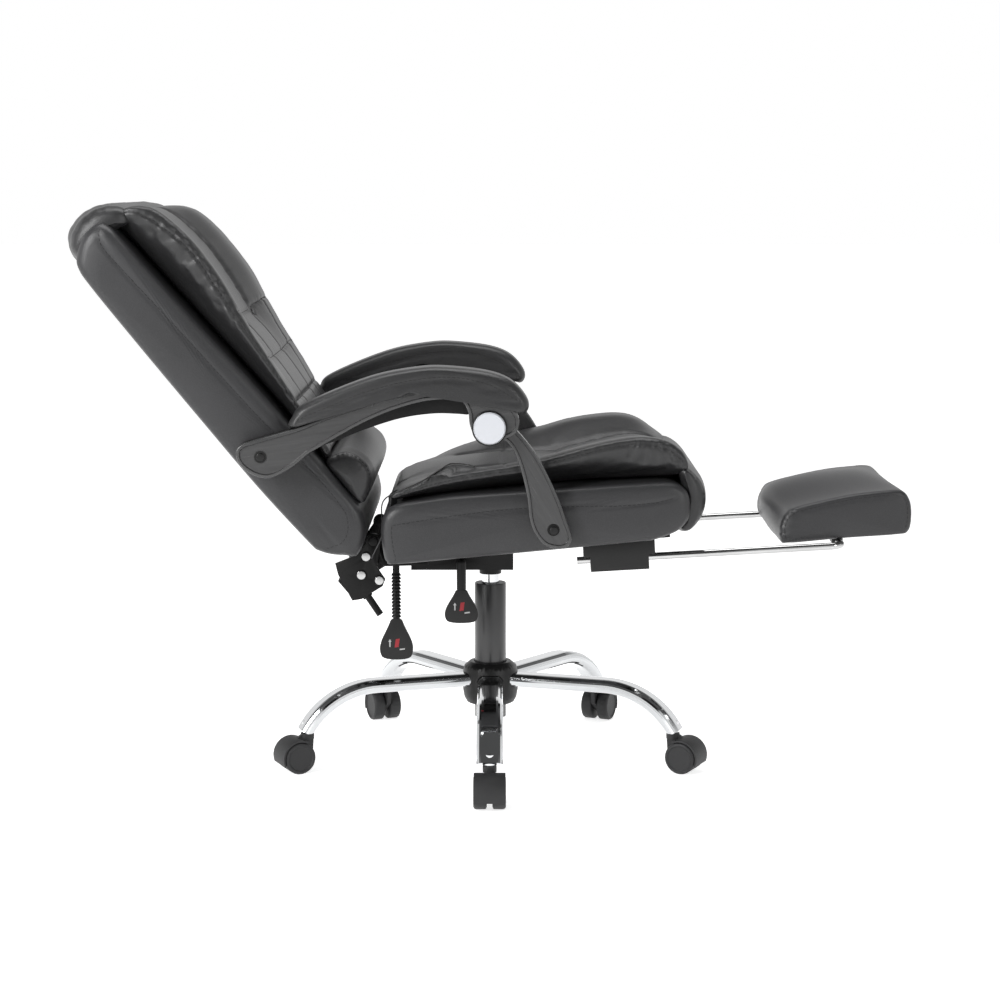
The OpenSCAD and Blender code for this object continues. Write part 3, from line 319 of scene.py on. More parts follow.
def puff(obj, voxel, pressure, cap, seams):
    frames, hold_width = 20, 1.3
    only(obj)
    remesh = obj.modifiers.new("remesh", "REMESH")
    remesh.mode, remesh.voxel_size, remesh.use_smooth_shade = "VOXEL", voxel * MM, True
    apply_modifiers(obj)
    start = coords(obj)
    cloth = obj.modifiers.new("cloth", "CLOTH")
    settings = cloth.settings
    settings.quality = 4
    settings.mass = 0.25
    settings.tension_stiffness = settings.compression_stiffness = 25
    settings.bending_stiffness = 1.2
    settings.use_pressure = True
    settings.uniform_pressure_force = pressure
    settings.effector_weights.gravity = 0
    fixed = obj.vertex_groups.new(name="held")
    for line in seams:
        gap, _ = nearest_on(start, line)
        for i in np.where(gap < voxel * hold_width * MM)[0]:
            fixed.add([int(i)], 1.0, "REPLACE")
    settings.vertex_group_mass = "held"
    cloth.point_cache.frame_start, cloth.point_cache.frame_end = 1, frames
    for step in range(1, frames + 1):
        scene.frame_set(step)
    move = coords(obj.evaluated_get(bpy.context.evaluated_depsgraph_get())) - start
    far = np.linalg.norm(move, axis=1)
    move *= (np.minimum(far, cap * MM) / np.maximum(far, 1e-9))[:, None]
    obj.modifiers.remove(cloth)
    obj.vertex_groups.clear()
    set_coords(obj, start + move)
    scene.frame_set(1)


def seat_of(co):
    """Points in the seat's frame: along, up and across, in mm."""
    c, s = cos_sin(SEAT_RAKE)
    x, y, z = co[:, 0] / MM, co[:, 1] / MM, co[:, 2] / MM - SEAT_HEIGHT
    return x * c + z * s, z * c - x * s, y


def back_of(co):
    """Points in the back's frame: up, out and across, in mm."""
    c, s = cos_sin(BACK_LEAN)
    x, y, z = co[:, 0] / MM - BACK_FOOT_X, co[:, 1] / MM, co[:, 2] / MM - BACK_FOOT_Z
    return z * c - x * s, x * c + z * s, y


def tuck(obj, frame_of, place, base, ridge, depth, start, end):
    """Draws a cushion's sides in below its seam, most at the base; depth is a table along the cushion."""
    co = coords(obj)
    along, up, y = frame_of(co)
    level = np.interp(along, *zip(*ridge))
    low = np.clip((level - up) / np.maximum(level - base, 1), 0, 1) ** 1.2
    out = np.clip((np.abs(y) - start) / (end - start), 0, 1)
    y = y - np.sign(y) * low * out * out * (3 - 2 * out) * np.interp(along, *zip(*depth))
    set_coords(obj, np.array([place(a, b, c) for a, b, c in zip(along, up, y)]))


def press_under(obj, line, radius, reach, rise=12, over=45):
    """Shapes the top of the cushion so that a cord lies on it, neither buried nor in the air."""
    co, no = coords(obj), coords(obj, "normal")
    line = np.asarray(line)
    gap, _ = nearest_on(co * [1, 1, 0], line * [1, 1, 0], reach * 2 * MM)
    for i in np.where((gap < reach * 1.7 * MM) & (no[:, 2] > 0.1))[0]:
        k = np.argmin(((line[:, :2] - co[i, :2]) ** 2).sum(1))
        limit = line[k, 2] - radius * MM + (gap[i] / MM / reach) ** 2 * rise * MM
        floor = line[k, 2] - radius * MM - (gap[i] / MM / reach) ** 2 * rise * MM
        if limit < co[i, 2] < line[k, 2] + over * MM and gap[i] < reach * MM:
            co[i, 2] = limit
        elif line[k, 2] - over * MM < co[i, 2] < floor:
            co[i, 2] = floor
    set_coords(obj, co)


def refine(obj):
    step = obj.modifiers.new("refine", "SUBSURF")
    step.levels = step.render_levels = 1
    apply_modifiers(obj)


def on_surface(obj, line, count):
    """A smooth curve through the line, laid on the piece's surface."""
    tree = surface(obj)
    return np.array([tree.find_nearest(Vector(p))[0] for p in curve_through(line, count)])


def sew(obj, line, depth, width, gathers=0.0, pitch=12.0, reach=16.0, seed=1):
    """Presses a seam into the piece, with gathers running square to it."""
    co, no = coords(obj), coords(obj, "normal")
    gap, at = nearest_on(co, line, reach * 3 * MM)
    gap, at = gap / MM, at / MM
    press = depth * np.exp(-(gap / width) ** 2)
    if gathers:
        rng = random.Random(seed)
        total = at.max() + 1
        marks, spot = [], 0.0
        while spot < total:
            marks.append((spot, rng.uniform(0.4, 1.0), rng.uniform(0.6, 1.5)))
            spot += pitch * rng.uniform(0.6, 1.5)
        fold = np.zeros(len(co))
        for spot, high, wide in marks:
            span = np.exp(-((at - spot) / (pitch * 0.22 * wide)) ** 2)
            fold += high * span * np.exp(-(gap / (reach * wide)) ** 2)
        press = press + gathers * fold
    press[gap > reach * 3] = 0
    set_coords(obj, co - no * (press * MM)[:, None])


def round_mesh(name, lines, radius, resolution):
    """A mesh of round section along each of the lines of points."""
    data = bpy.data.curves.new(name, "CURVE")
    data.dimensions, data.use_fill_caps = "3D", True
    data.bevel_depth, data.bevel_resolution = radius * MM, resolution
    for points in lines:
        spline = data.splines.new("POLY")
        spline.points.add(len(points) - 1)
        for spot, p in zip(spline.points, points):
            spot.co = (*p, 1)
    piece = added(name, data)
    bpy.ops.object.convert(target="MESH")
    smooth(piece)
    return piece


def stitched(name, obj, line, body, pitch=7.0, long=4.6, thick=0.42, lift=0.15):
    """A row of stitches along a line on the piece, each a short bead of thread."""
    run = np.concatenate([[0], np.cumsum(np.linalg.norm(np.diff(line, axis=0), axis=1))]) / MM
    tree = surface(obj)
    beads = []
    at = 0.0
    while at + long < run[-1]:
        bead = []
        for k, share in enumerate((0, 0.5, 1)):
            raw = [np.interp(at + long * share, run, np.asarray(line)[:, c]) for c in range(3)]
            spot, normal, _, _ = tree.find_nearest(Vector(raw))
            up = lift + (thick * 0.5 if k == 1 else -thick * 0.6)
            bead.append(spot + normal * up * MM)
        beads.append(bead)
        at += pitch
    return finish_piece(round_mesh(name, beads, radius=thick, resolution=1), body, thread_black)


# ---- shader groups
def group(name, inputs, outputs):
    """A new shader group: its tree, its link call, the object coordinates, and its input and output nodes."""
    tree = bpy.data.node_groups.new(name, "ShaderNodeTree")
    for label, value in inputs:
        socket = tree.interface.new_socket(label, in_out="INPUT", socket_type="NodeSocketFloat")
        socket.default_value = value
    for label in outputs:
        tree.interface.new_socket(label, in_out="OUTPUT", socket_type="NodeSocketFloat")
    place = tree.nodes.new("ShaderNodeTexCoord").outputs["Object"]
    return tree, tree.links.new, place, tree.nodes.new("NodeGroupInput"), tree.nodes.new("NodeGroupOutput")


def add(tree, kind, **values):
    """A new node, with the values of its inputs or settings."""
    node = tree.nodes.new(kind)
    for key, value in values.items():
        if key in node.inputs.keys():
            node.inputs[key].default_value = value
        else:
            setattr(node, key, value)
    return node


def math_node(tree, operation, a, b):
    node = tree.nodes.new("ShaderNodeMath")
    node.operation = operation
    for socket, value in zip(node.inputs, (a, b)):
        if isinstance(value, (int, float)):
            socket.default_value = value
        else:
            tree.links.new(value, socket)
    return node.outputs[0]


def scaled(tree, a, b):
    return math_node(tree, "MULTIPLY", a, b)


def make_leather_grain():
    """Pebbled grain cells with finer pores, and slow creases."""
    tree, link, place, start, end = group("leather_grain", [("Scale", 1.0), ("Creases", 0.5)], ["Height", "Tone"])
    cells = add(tree, "ShaderNodeTexVoronoi", feature="SMOOTH_F1", Smoothness=0.35, Randomness=1.0)
    pores = add(tree, "ShaderNodeTexNoise", Detail=2.0, Roughness=0.6)
    folds = add(tree, "ShaderNodeTexNoise", Scale=26.0, Detail=5.0, Roughness=0.62, Distortion=0.6)
    slow = add(tree, "ShaderNodeTexNoise", Scale=7.0, Detail=3.0)
    for node in (cells, pores, folds, slow):
        link(place, node.inputs["Vector"])
    link(scaled(tree, start.outputs["Scale"], 620.0), cells.inputs["Scale"])
    link(scaled(tree, start.outputs["Scale"], 1500.0), pores.inputs["Scale"])
    fine = math_node(tree, "ADD", cells.outputs["Distance"], scaled(tree, pores.outputs[0], 0.35))
    crease = scaled(tree, folds.outputs[0], start.outputs["Creases"])
    link(math_node(tree, "ADD", fine, crease), end.inputs["Height"])
    tone = math_node(tree, "ADD", scaled(tree, slow.outputs[0], 0.7), scaled(tree, cells.outputs["Distance"], 0.5))
    link(tone, end.inputs["Tone"])
    return tree


def make_moulded_grain():
    """Fine spark-eroded texture of moulded plastic and powder coat."""
    tree, link, place, start, end = group("moulded_grain", [("Scale", 1.0)], ["Height", "Tone"])
    fine = add(tree, "ShaderNodeTexNoise", Detail=3.0, Roughness=0.7)
    slow = add(tree, "ShaderNodeTexNoise", Scale=14.0, Detail=4.0)
    for node in (fine, slow):
        link(place, node.inputs["Vector"])
    link(scaled(tree, start.outputs["Scale"], 900.0), fine.inputs["Scale"])
    link(fine.outputs[0], end.inputs["Height"])
    link(slow.outputs[0], end.inputs["Tone"])
    return tree


def make_brushed_marks():
    """Polishing marks and faint smears on metal."""
    tree, link, place, start, end = group("polish_marks", [("Stretch", 1.0)], ["Height", "Tone"])
    squeeze = add(tree, "ShaderNodeMapping", Scale=(1, 1, 0.12))
    link(place, squeeze.inputs["Vector"])
    lines = add(tree, "ShaderNodeTexNoise", Detail=2.0, Roughness=0.5)
    smears = add(tree, "ShaderNodeTexNoise", Scale=9.0, Detail=4.0)
    link(squeeze.outputs[0], lines.inputs["Vector"])
    link(place, smears.inputs["Vector"])
    link(scaled(tree, start.outputs["Stretch"], 700.0), lines.inputs["Scale"])
    link(lines.outputs[0], end.inputs["Height"])
    link(smears.outputs[0], end.inputs["Tone"])
    return tree


def make_arm_streaks_and_sheen():
    """Satin plastic with soft drawn streaks along the part, whose tone also lightens the colour as a painted sheen;
    Turn is their slope in radians.
    """
    tree, link, place, start, end = group("drawn_streaks_and_sheen", [("Turn", 0.0)], ["Height", "Tone"])
    turn = add(tree, "ShaderNodeVectorRotate", rotation_type="Y_AXIS")
    link(place, turn.inputs["Vector"])
    link(start.outputs["Turn"], turn.inputs["Angle"])
    squeeze = add(tree, "ShaderNodeMapping", Scale=(0.09, 1, 1))
    link(turn.outputs[0], squeeze.inputs["Vector"])
    streaks = add(tree, "ShaderNodeTexNoise", Scale=170.0, Detail=5.0, Roughness=0.65, Distortion=0.4)
    broad = add(tree, "ShaderNodeTexNoise", Scale=55.0, Detail=3.0)
    fine = add(tree, "ShaderNodeTexNoise", Scale=1100.0, Detail=2.0)
    link(squeeze.outputs[0], streaks.inputs["Vector"])
    link(squeeze.outputs[0], broad.inputs["Vector"])
    link(place, fine.inputs["Vector"])
    tone = math_node(tree, "ADD", scaled(tree, streaks.outputs[0], 0.6), scaled(tree, broad.outputs[0], 0.45))
    link(math_node(tree, "ADD", tone, scaled(tree, fine.outputs[0], 0.4)), end.inputs["Height"])
    link(tone, end.inputs["Tone"])
    return tree


arm_streaks_and_sheen = make_arm_streaks_and_sheen()
leather_grain = make_leather_grain()
moulded_grain = make_moulded_grain()
polish_marks = make_brushed_marks()


def finish_of(name, grain, dark, light, rough, bump, values=None, metallic=0.0, coat=0.0, coat_rough=0.1,
              specular=0.5, bump_size=0.0004):
    """A material whose colour and roughness vary with the grain's slow tone, over the grain's bump.

    dark and light are colours, or one number for a grey."""
    material = bpy.data.materials.new(name)
    material.use_nodes = True
    tree = material.node_tree
    link = tree.links.new
    shader = tree.nodes["Principled BSDF"]
    texture = add(tree, "ShaderNodeGroup", node_tree=grain, **(values or {}))
    dark, light = (c if isinstance(c, tuple) else (c,) * 3 for c in (dark, light))
    colour = add(tree, "ShaderNodeValToRGB")
    colour.color_ramp.elements[0].color, colour.color_ramp.elements[1].color = (*dark, 1), (*light, 1)
    colour.color_ramp.elements[0].position, colour.color_ramp.elements[1].position = 0.25, 0.8
    gloss = add(tree, "ShaderNodeMapRange", **{"To Min": rough[0], "To Max": rough[1]})
    dent = add(tree, "ShaderNodeBump", Strength=bump, Distance=bump_size)
    link(texture.outputs["Tone"], colour.inputs[0])
    link(texture.outputs["Tone"], gloss.inputs["Value"])
    link(texture.outputs["Height"], dent.inputs["Height"])
    link(colour.outputs[0], shader.inputs["Base Color"])
    link(gloss.outputs[0], shader.inputs["Roughness"])
    link(dent.outputs[0], shader.inputs["Normal"])
    for key, value in (("Metallic", metallic), ("Coat Weight", coat), ("Coat Roughness", coat_rough),
                       ("Specular IOR Level", specular)):
        shader.inputs[key].default_value = value
    return material


leather = finish_of("charcoal_leather", leather_grain, (0.016, 0.016, 0.0165), (0.025, 0.025, 0.026),
                    (0.34, 0.46), 0.25, {"Creases": 0.9})
# The same charcoal leather painted lighter: painted light on the lit sides of the base cushions and on the top of the
# footrest
leather_painted_lit = finish_of("charcoal_leather_painted_lit", leather_grain, (0.022, 0.022, 0.023), (0.033, 0.033, 0.035),
                         (0.36, 0.48), 0.2)
thread_black = finish_of("seam_thread", moulded_grain, 0.012, 0.02, (0.6, 0.8), 0.3, {"Scale": 3.0})
# The light end of these colours is partly painted sheen: the drawn streaks are lit up in the colour as well as in the
# roughness
arm_plastic, post_plastic = (
    finish_of(name, arm_streaks_and_sheen, (0.016, 0.016, 0.0165), (0.062, 0.062, 0.063), (0.16, 0.34), 0.24, {"Turn": turn},
              specular=0.7, bump_size=0.0003)
    for name, turn in (("satin_arm_plastic", 0.125), ("satin_post_plastic", -1.02)))
black_plastic = finish_of("black_plastic", moulded_grain, 0.005, 0.011, (0.3, 0.42), 0.14,
                          {"Scale": 1.2}, specular=0.32, bump_size=0.0003)
caster_plastic = finish_of("caster_plastic", moulded_grain, (0.014, 0.014, 0.015), (0.024, 0.024, 0.025), (0.5, 0.62),
                           0.5)
# Black powder coat, also used as painted shade on the inner walls of the arms
powder_black_and_shade = finish_of("powder_coat_and_painted_shade", moulded_grain, 0.004, 0.009, (0.38, 0.5), 0.25,
                         {"Scale": 1.1}, specular=0.2, bump_size=0.0003)
tube_black = finish_of("column_paint", moulded_grain, (0.016, 0.016, 0.017), (0.024, 0.024, 0.025), (0.26, 0.34), 0.06,
                       {"Scale": 0.8}, coat=0.3, coat_rough=0.15)
chrome = finish_of("leg_chrome", polish_marks, (0.58, 0.59, 0.6), (0.68, 0.69, 0.7), (0.05, 0.1), 0.015,
                   metallic=1.0, bump_size=0.0001)
rod_chrome = finish_of("rod_chrome", polish_marks, 0.42, 0.54, (0.09, 0.16), 0.03, metallic=1.0, bump_size=0.0001)
zinc = finish_of("zinc_steel", polish_marks, 0.32, 0.5, (0.16, 0.26), 0.04, metallic=1.0, bump_size=0.0001)
cap_silver = finish_of("silver_cap", polish_marks, (0.82, 0.84, 0.89), (0.88, 0.9, 0.94), (0.34, 0.42), 0.03,
                       metallic=0.25, bump_size=0.0001)
dust_cover = finish_of("dust_cover", moulded_grain, 0.012, 0.02, (0.8, 0.9), 0.5, {"Scale": 0.6})
cord_black = finish_of("cord_jacket", moulded_grain, 0.008, 0.014, (0.4, 0.5), 0.1, {"Scale": 2.0})
mark_white = finish_of("lever_mark_white", moulded_grain, 0.6, 0.7, (0.4, 0.5), 0.05)
mark_red = finish_of("lever_mark_red", moulded_grain, (0.35, 0.02, 0.03), (0.42, 0.03, 0.04), (0.4, 0.5), 0.05)

# ---- rigid pieces
slot_of = {s["node"]: s["material_slot"] for s in frame["record"]["subparts"]}
FINISHES = {"steel_black": powder_black_and_shade, "base_chrome": chrome, "black_plastic": black_plastic,
            "tube_black": tube_black, "zinc_steel": zinc, "plywood": dust_cover, "cord_black": cord_black,
            "lever_plastic": black_plastic, "caster_plastic": caster_plastic, "silver_plastic": cap_silver,
            "rod_chrome": rod_chrome, "arm_plastic": arm_plastic, "black_leather": leather}
for name, obj in nodes.items():
    for place in obj.material_slots:
        place.material = FINISHES[slot_of[name]]
    if not obj.material_slots:
        obj.data.materials.append(FINISHES[slot_of[name]])


def copied(node, name):
    """A merged copy of a CAD node's mesh."""
    obj = added(name, nodes[node].data.copy())
    set_mode("EDIT")
    bpy.ops.mesh.select_all(action="SELECT")
    bpy.ops.mesh.remove_doubles(threshold=0.02 * MM)
    bpy.ops.mesh.dissolve_limited(angle_limit=math.radians(0.4))
    normals_outward()
    return obj


def eased(node, name, width, segments, material=None):
    """The node with its sharp edges rounded, under a new name."""
    obj = copied(node, name)
    bevelled(obj, width, segments, 38)
    smooth(obj, 32)
    finish_piece(obj, body_of(nodes[node])[0], material or FINISHES[slot_of[node]], [node])


def extruded(name, points, depth):
    """A flat outline drawn out across the chair by depth, in mm."""
    bpy.ops.mesh.primitive_circle_add(vertices=len(points), radius=MM, fill_type="NGON", location=(0, 0, 0))
    obj = bpy.context.object
    obj.name = name
    for vertex, point in zip(obj.data.vertices, points):
        vertex.co = point
    set_mode("EDIT")
    bpy.ops.mesh.select_all(action="SELECT")
    bpy.ops.mesh.extrude_region_move(TRANSFORM_OT_translate={"value": (0, depth * MM, 0)})
    normals_outward()
    return obj


def plate(name, place, outline, low, high, rim=0, edge=1.2, count=120):
    """A plate cut to a smooth outline, from low to high across the chair, with a rim left round its outer face."""
    groove_width, groove_depth = 1.2, 2.4
    ring = curve_through(outline, count, closed=True)
    obj = extruded(name, at_width(place, ring, low), high - low)
    bevelled(obj, edge, 4, 50)
    if rim:
        side = 1 if high > low else -1
        set_mode("EDIT")
        bpy.ops.mesh.select_mode(type="FACE")
        bpy.ops.mesh.select_all(action="DESELECT")
        set_mode("OBJECT")
        for face in obj.data.polygons:
            face.select = face.normal.y * side > 0.999
        set_mode("EDIT")
        bpy.ops.mesh.inset(thickness=(rim - edge) * MM, depth=0, use_even_offset=True)
        bpy.ops.mesh.inset(thickness=groove_width * MM, depth=-groove_depth * MM, use_even_offset=True)
        set_mode("OBJECT")
    smooth(obj, 38)
    return obj


RAIL_TOP = [(-28, 20), (0, 26), (57, 35), (103, 47), (152, 57), (189, 64), (242, 68), (283, 67), (330, 57), (364, 38)]
RAIL_END = [(84, 2), (70, -4), (43, -21), (11, -32), (-12, -26), (-30, -10), (-35, 6)]
RAIL = RAIL_TOP + [
    (376, 22), (381, 8), (377, -8), (365, -16), (336, -20), (316, -12), (309, 8), (309, 26), (302, 43), (284, 49),
    (248, 51), (211, 46), (181, 39), (150, 29), (117, 16)] + RAIL_END
LINER = RAIL_TOP + [
    (380, 22), (372, 14), (355, 23), (336, 28), (318, 25), (308, 22), (293, 25), (257, 30), (209, 29), (154, 19),
    (116, 9)] + RAIL_END
POST = [
    (-18, 549), (-23, 562), (-14, 577), (2, 582), (18, 577), (32, 563), (59, 532), (79, 501), (100, 457), (115, 416),
    (121, 397), (119, 387), (112, 381), (101, 379), (82, 384), (67, 401), (59, 423), (55, 457), (45, 499), (33, 528),
    (18, 541), (0, 538)]
ARM_INNER, ARM_MIDDLE, ARM_OUTER, POST_OUTER = 252, 271, 290, 269
for side, label in HANDS:
    rail = plate(f"arm_rail_{label}", on_arm, RAIL, ARM_MIDDLE * side, ARM_OUTER * side, rim=4.6, edge=2.2, count=160)
    finish_piece(rail, "arms", arm_plastic, [f"arm_frame_{label}"])
    # The inner wall takes the darkest black instead of the arm plastic: painted shade in the recess under the rail
    shade_liner = plate(f"arm_shade_liner_{label}", on_arm, LINER, ARM_INNER * side, ARM_MIDDLE * side, count=150)
    finish_piece(shade_liner, "arms", powder_black_and_shade)
    post = plate(f"arm_upright_{label}", lambda x, z, y: (x * MM, y * MM, z * MM), POST, ARM_INNER * side,
                 POST_OUTER * side, rim=4.4, edge=2.1, count=130)
    finish_piece(post, body_of(nodes[f"arm_post_{label}"])[0], post_plastic, [f"arm_post_{label}"])


def turned_piece(name, operator, x, y, z, **sizes):
    """A round primitive with its axis across the chair."""
    operator(location=(x * MM, y * MM, z * MM), rotation=(math.pi / 2, 0, 0), **sizes)
    obj = bpy.context.object
    obj.name = name
    bpy.ops.object.transform_apply(location=True, rotation=True, scale=True)
    return obj


def button(name, body, x, z, low, high):
    """A shallow domed button facing out from the chair."""
    radius, deep = 6.4, abs(high - low)
    obj = turned_piece(name, bpy.ops.mesh.primitive_cylinder_add, x, (low + high) / 2, z,
                       vertices=40, radius=radius * MM, depth=deep * MM)
    bevelled(obj, min(radius * 0.35, deep * 0.8), 5)
    smooth(obj, 40)
    finish_piece(obj, body, black_plastic)


for side, label in HANDS:
    button(f"arm_pivot_button_{label}", "arms", ARM_PIVOT_X, ARM_PIVOT_Z, 287 * side, 290.6 * side)
    button(f"post_pivot_button_{label}", "seat", 94.6, 406, 266 * side, 269.8 * side)
    ring = turned_piece(f"cap_ring_{label}", bpy.ops.mesh.primitive_torus_add, 0.2, 291.4 * side, 559.7,
                        major_segments=64, minor_segments=12, major_radius=24.4 * MM, minor_radius=1.5 * MM)
    smooth(ring)
    finish_piece(ring, body_of(nodes["arm_caps"])[0], black_plastic)

for i in range(1, 6):
    eased(f"caster_hood_{i}", f"caster_cover_{i}", 2.2, 4)
    eased(f"caster_wheels_{i}", f"caster_rollers_{i}", 2.4, 4)
for node, name, width, segments in (
        ("hub_collar", "column_collar", 1.5, 3), ("mechanism_pan", "tilt_pan", 0.8, 2),
        ("hinge_ears", "tilt_ears", 0.7, 2), ("back_bracket", "back_plate", 0.7, 2),
        ("footrest_guides", "rod_guides", 1.0, 3), ("footrest_saddles", "rod_clamps", 0.8, 2),
        ("height_lever", "height_rod", 0.8, 2), ("height_paddle", "height_grip", 2.6, 4),
        ("recline_paddle", "recline_grip", 2.6, 4), ("recline_lever", "recline_rod", 0.5, 2),
        ("bracket_stub", "back_stub", 0.6, 2), ("back_screws", "back_bolts", 2.4, 4),
        ("lift_outer_tube", "column_tube", 0.8, 2)):
    eased(node, name, width, segments)


# Generic marks on the grips: a white arrow, a white bar and a red block
def mark(name, body, x, z, outline, material):
    """A thin printed mark on a grip's outer face."""
    grip_face, thickness = -(135 + 4.6), 0.15
    points = [((x + dx) * MM, grip_face * MM, (z + dz) * MM) for dx, dz in outline]
    finish_piece(extruded(name, points, -thickness), body, material)


ARROW = [(-11, 0), (-9, 0), (-9, 8), (-7.6, 8), (-10, 12), (-12.4, 8), (-11, 8)]
for label, body, x, low in (("height", "height_lever", -44, 243), ("recline", "recline_lever", -144, 186)):
    mark(f"{label}_mark_block", body, x, low + 26, [(-3, -7), (3.5, -6), (5, 7), (-1, 6)], mark_red)
    mark(f"{label}_mark_arrow", body, x, low + 20, ARROW, mark_white)
    mark(f"{label}_mark_bar", body, x, low + 15, [(5, 0), (13, 1), (13, 3), (5, 2)], mark_white)

eased("pivot_bolts", "tilt_bolts", 1.6, 3, powder_black_and_shade)

# ---- massage cord
CORD_ROUTE = [
    [-21, -207, 493.7], [-30, -203, 495.5], [-40, -198, 496.7], [-51, -190, 496], [-60, -194, 496], [-67, -207, 494],
    [-74, -216, 490], [-85, -225, 484], [-97, -232, 477], [-109, -235, 471], [-122, -235.5, 465.5], [-134, -235.5, 460],
    [-146, -235, 455], [-154, -233, 450], [-159, -230, 443], [-161, -226, 434], [-161, -219, 422], [-161, -210, 408],
    [-161, -202, 397], [-163, -192, 386], [-168, -178, 373], [-175, -160, 358], [-181, -145, 345]]
cord_line = curve_through(np.array(CORD_ROUTE) * MM, 70)
cord = finish_piece(round_mesh("massage_lead", [cord_line], radius=1.0, resolution=3), "seat", cord_black,
                    ["massage_cord"])

# ---- seat
SEAT_BLOCK = [
    (-157, 14), (-158, 50), (-153, 72), (-143, 84), (-125, 90), (-90, 93), (-41, 95), (60, 93), (151, 91), (230, 89),
    (275, 86), (295, 76), (303, 60), (301, 32), (286, 15), (267, 7), (245, 2), (213, 1), (-50, 0), (-143, 0), (-153, 4)]
seat_block = lofted("seat_block", on_seat, [(-1, SEAT_BLOCK), (1, SEAT_BLOCK)], half=246, edge=16,
                    end_share=0.8, rest=45, around=300, across=150)
seat_side_line = [(-141, 2), (-142, 30), (-141, 57), (-128, 61), (-40, 67), (43, 69), (130, 65), (200, 59), (252, 59),
                  (284, 64)]
for side, label in SIDES:
    laid = on_surface(seat_block, at_width(on_seat, seat_side_line, 252 * side), count=160)
    sew(seat_block, laid, 1.5, 2.4, gathers=0.3, pitch=22, reach=14, seed=2)
    stitched(f"seat_side_stitches_{label}", seat_block, laid, "seat")
upholster(seat_block, "seat", leather_painted_lit, ["seat_base_cushion"])

NEAR_LOBE = [
    (-118, 92), (-138, 90), (-147, 96), (-144, 100), (-134, 106), (-119, 111), (-90, 119), (-47, 126), (28, 131),
    (94, 138), (140, 146), (193, 154), (232, 156), (264, 151), (287, 141), (304, 122), (309, 103), (298, 94), (280, 90),
    (150, 92), (0, 94)]
MIDDLE_LOBE = [
    (-118, 92), (-132, 92), (-139, 97), (-134, 103), (-125, 108), (-112, 111), (-86, 114), (-47, 117), (28, 119),
    (104, 124), (145, 130), (193, 137), (235, 141), (268, 134), (288, 120), (300, 106), (299, 95), (280, 90), (150, 92),
    (0, 94)]
FAR_LOBE = [
    (-95, 92), (-106, 91), (-112, 94), (-108, 97), (-101, 100), (-92, 104), (-73, 112), (-42, 121), (16, 130),
    (92, 139), (145, 149), (200, 152), (232, 150), (258, 140), (280, 122), (297, 106), (299, 95), (280, 90), (150, 92),
    (0, 94)]
FAR_END = [(-72, 92), (-82, 91), (-88, 94), (-85, 97), (-79, 100), (-72, 104), (-60, 110), (-38, 119)] + FAR_LOBE[8:]
VALLEY = [(u, w - 13 if 8 < k < 15 else w) for k, (u, w) in enumerate(MIDDLE_LOBE)]
SEAT_TOP_BASE, FRONT_PAD_BASE = 92, 28
SEAT_RIDGE = [
    (-147, 96), (-115, 104), (-80, 112), (-39, 118), (10, 122), (58, 124), (93, 129), (127, 134), (162, 141),
    (197, 146), (231, 147), (262, 143), (287, 130), (308, 106)]
seat_top = lofted("seat_top_pad", on_seat,
                  [(-1, NEAR_LOBE), (-0.88, NEAR_LOBE), (-0.56, VALLEY), (0.36, VALLEY), (0.76, FAR_LOBE),
                   (1, FAR_END)],
                  half=232, edge=16, end_share=0.34, rest=SEAT_RIDGE, around=150, across=110, dome=2)
tuck(seat_top, seat_of, on_seat, SEAT_TOP_BASE, SEAT_RIDGE,
     [(-150, 20), (-100, 38), (60, 44), (180, 34), (260, 16), (300, 8)], start=150, end=232)
channel = both(on_seat, [(-136, 98), (-100, 102), (0, 108), (120, 115), (230, 128), (294, 112)], 96)
seat_rim = both(on_seat, SEAT_RIDGE, 238)
SEAT_CORNER = [(228, 150), (255, 147), (276, 138), (290, 124), (297, 110)]
# Creases at the front corners: along, up, and how far each falls away along and down
CORNER_CREASES = ((232, 146, -10, -20), (246, 146, -5, -26), (259, 143, 0, -28), (271, 139, 4, -30),
                  (283, 132, 8, -24), (294, 123, 10, -16))
cross_seam = [on_seat(32, 150, y) for y in (-226, -200, -120, 0, 120, 200, 226)]
held = [on_surface(seat_top, line, count=90) for line in (*channel.values(), *seat_rim.values(), cross_seam)]
puff(seat_top, voxel=6, pressure=2.2, cap=3, seams=held)
refine(seat_top)
for line in channel.values():
    sew(seat_top, on_surface(seat_top, line, count=120), 3.5, 8, gathers=1.0, pitch=30, reach=18, seed=3)
for side, label in SIDES:
    laid = on_surface(seat_top, seat_rim[side], count=170)
    sew(seat_top, laid, 1.6, 2.8, gathers=1.0, pitch=17, reach=12, seed=5 + side)
    corner = on_surface(seat_top, at_width(on_seat, SEAT_CORNER, 236 * side), count=60)
    sew(seat_top, corner, 0.4, 3, gathers=0.7, pitch=22, reach=16, seed=7 + side)
    for k, (u, w, du, dw) in enumerate(CORNER_CREASES):
        crease = [on_seat(u + du * t, w + dw * t + 3, (226 + 6 * math.sin(3 * t)) * side)
                  for t in (0, 0.3, 0.6, 0.85, 1.1)]
        sew(seat_top, on_surface(seat_top, crease, count=30), 2.4 - 0.4 * (k % 3), 5.2)
    stitched(f"seat_rim_stitches_{label}", seat_top, laid, "seat")
sew(seat_top, on_surface(seat_top, cross_seam, count=120), 1.4, 2.6)
press_under(seat_top, cord_line[:48], radius=1.8, reach=22)
upholster(seat_top, "seat", leather, ["seat_top_cushion"])

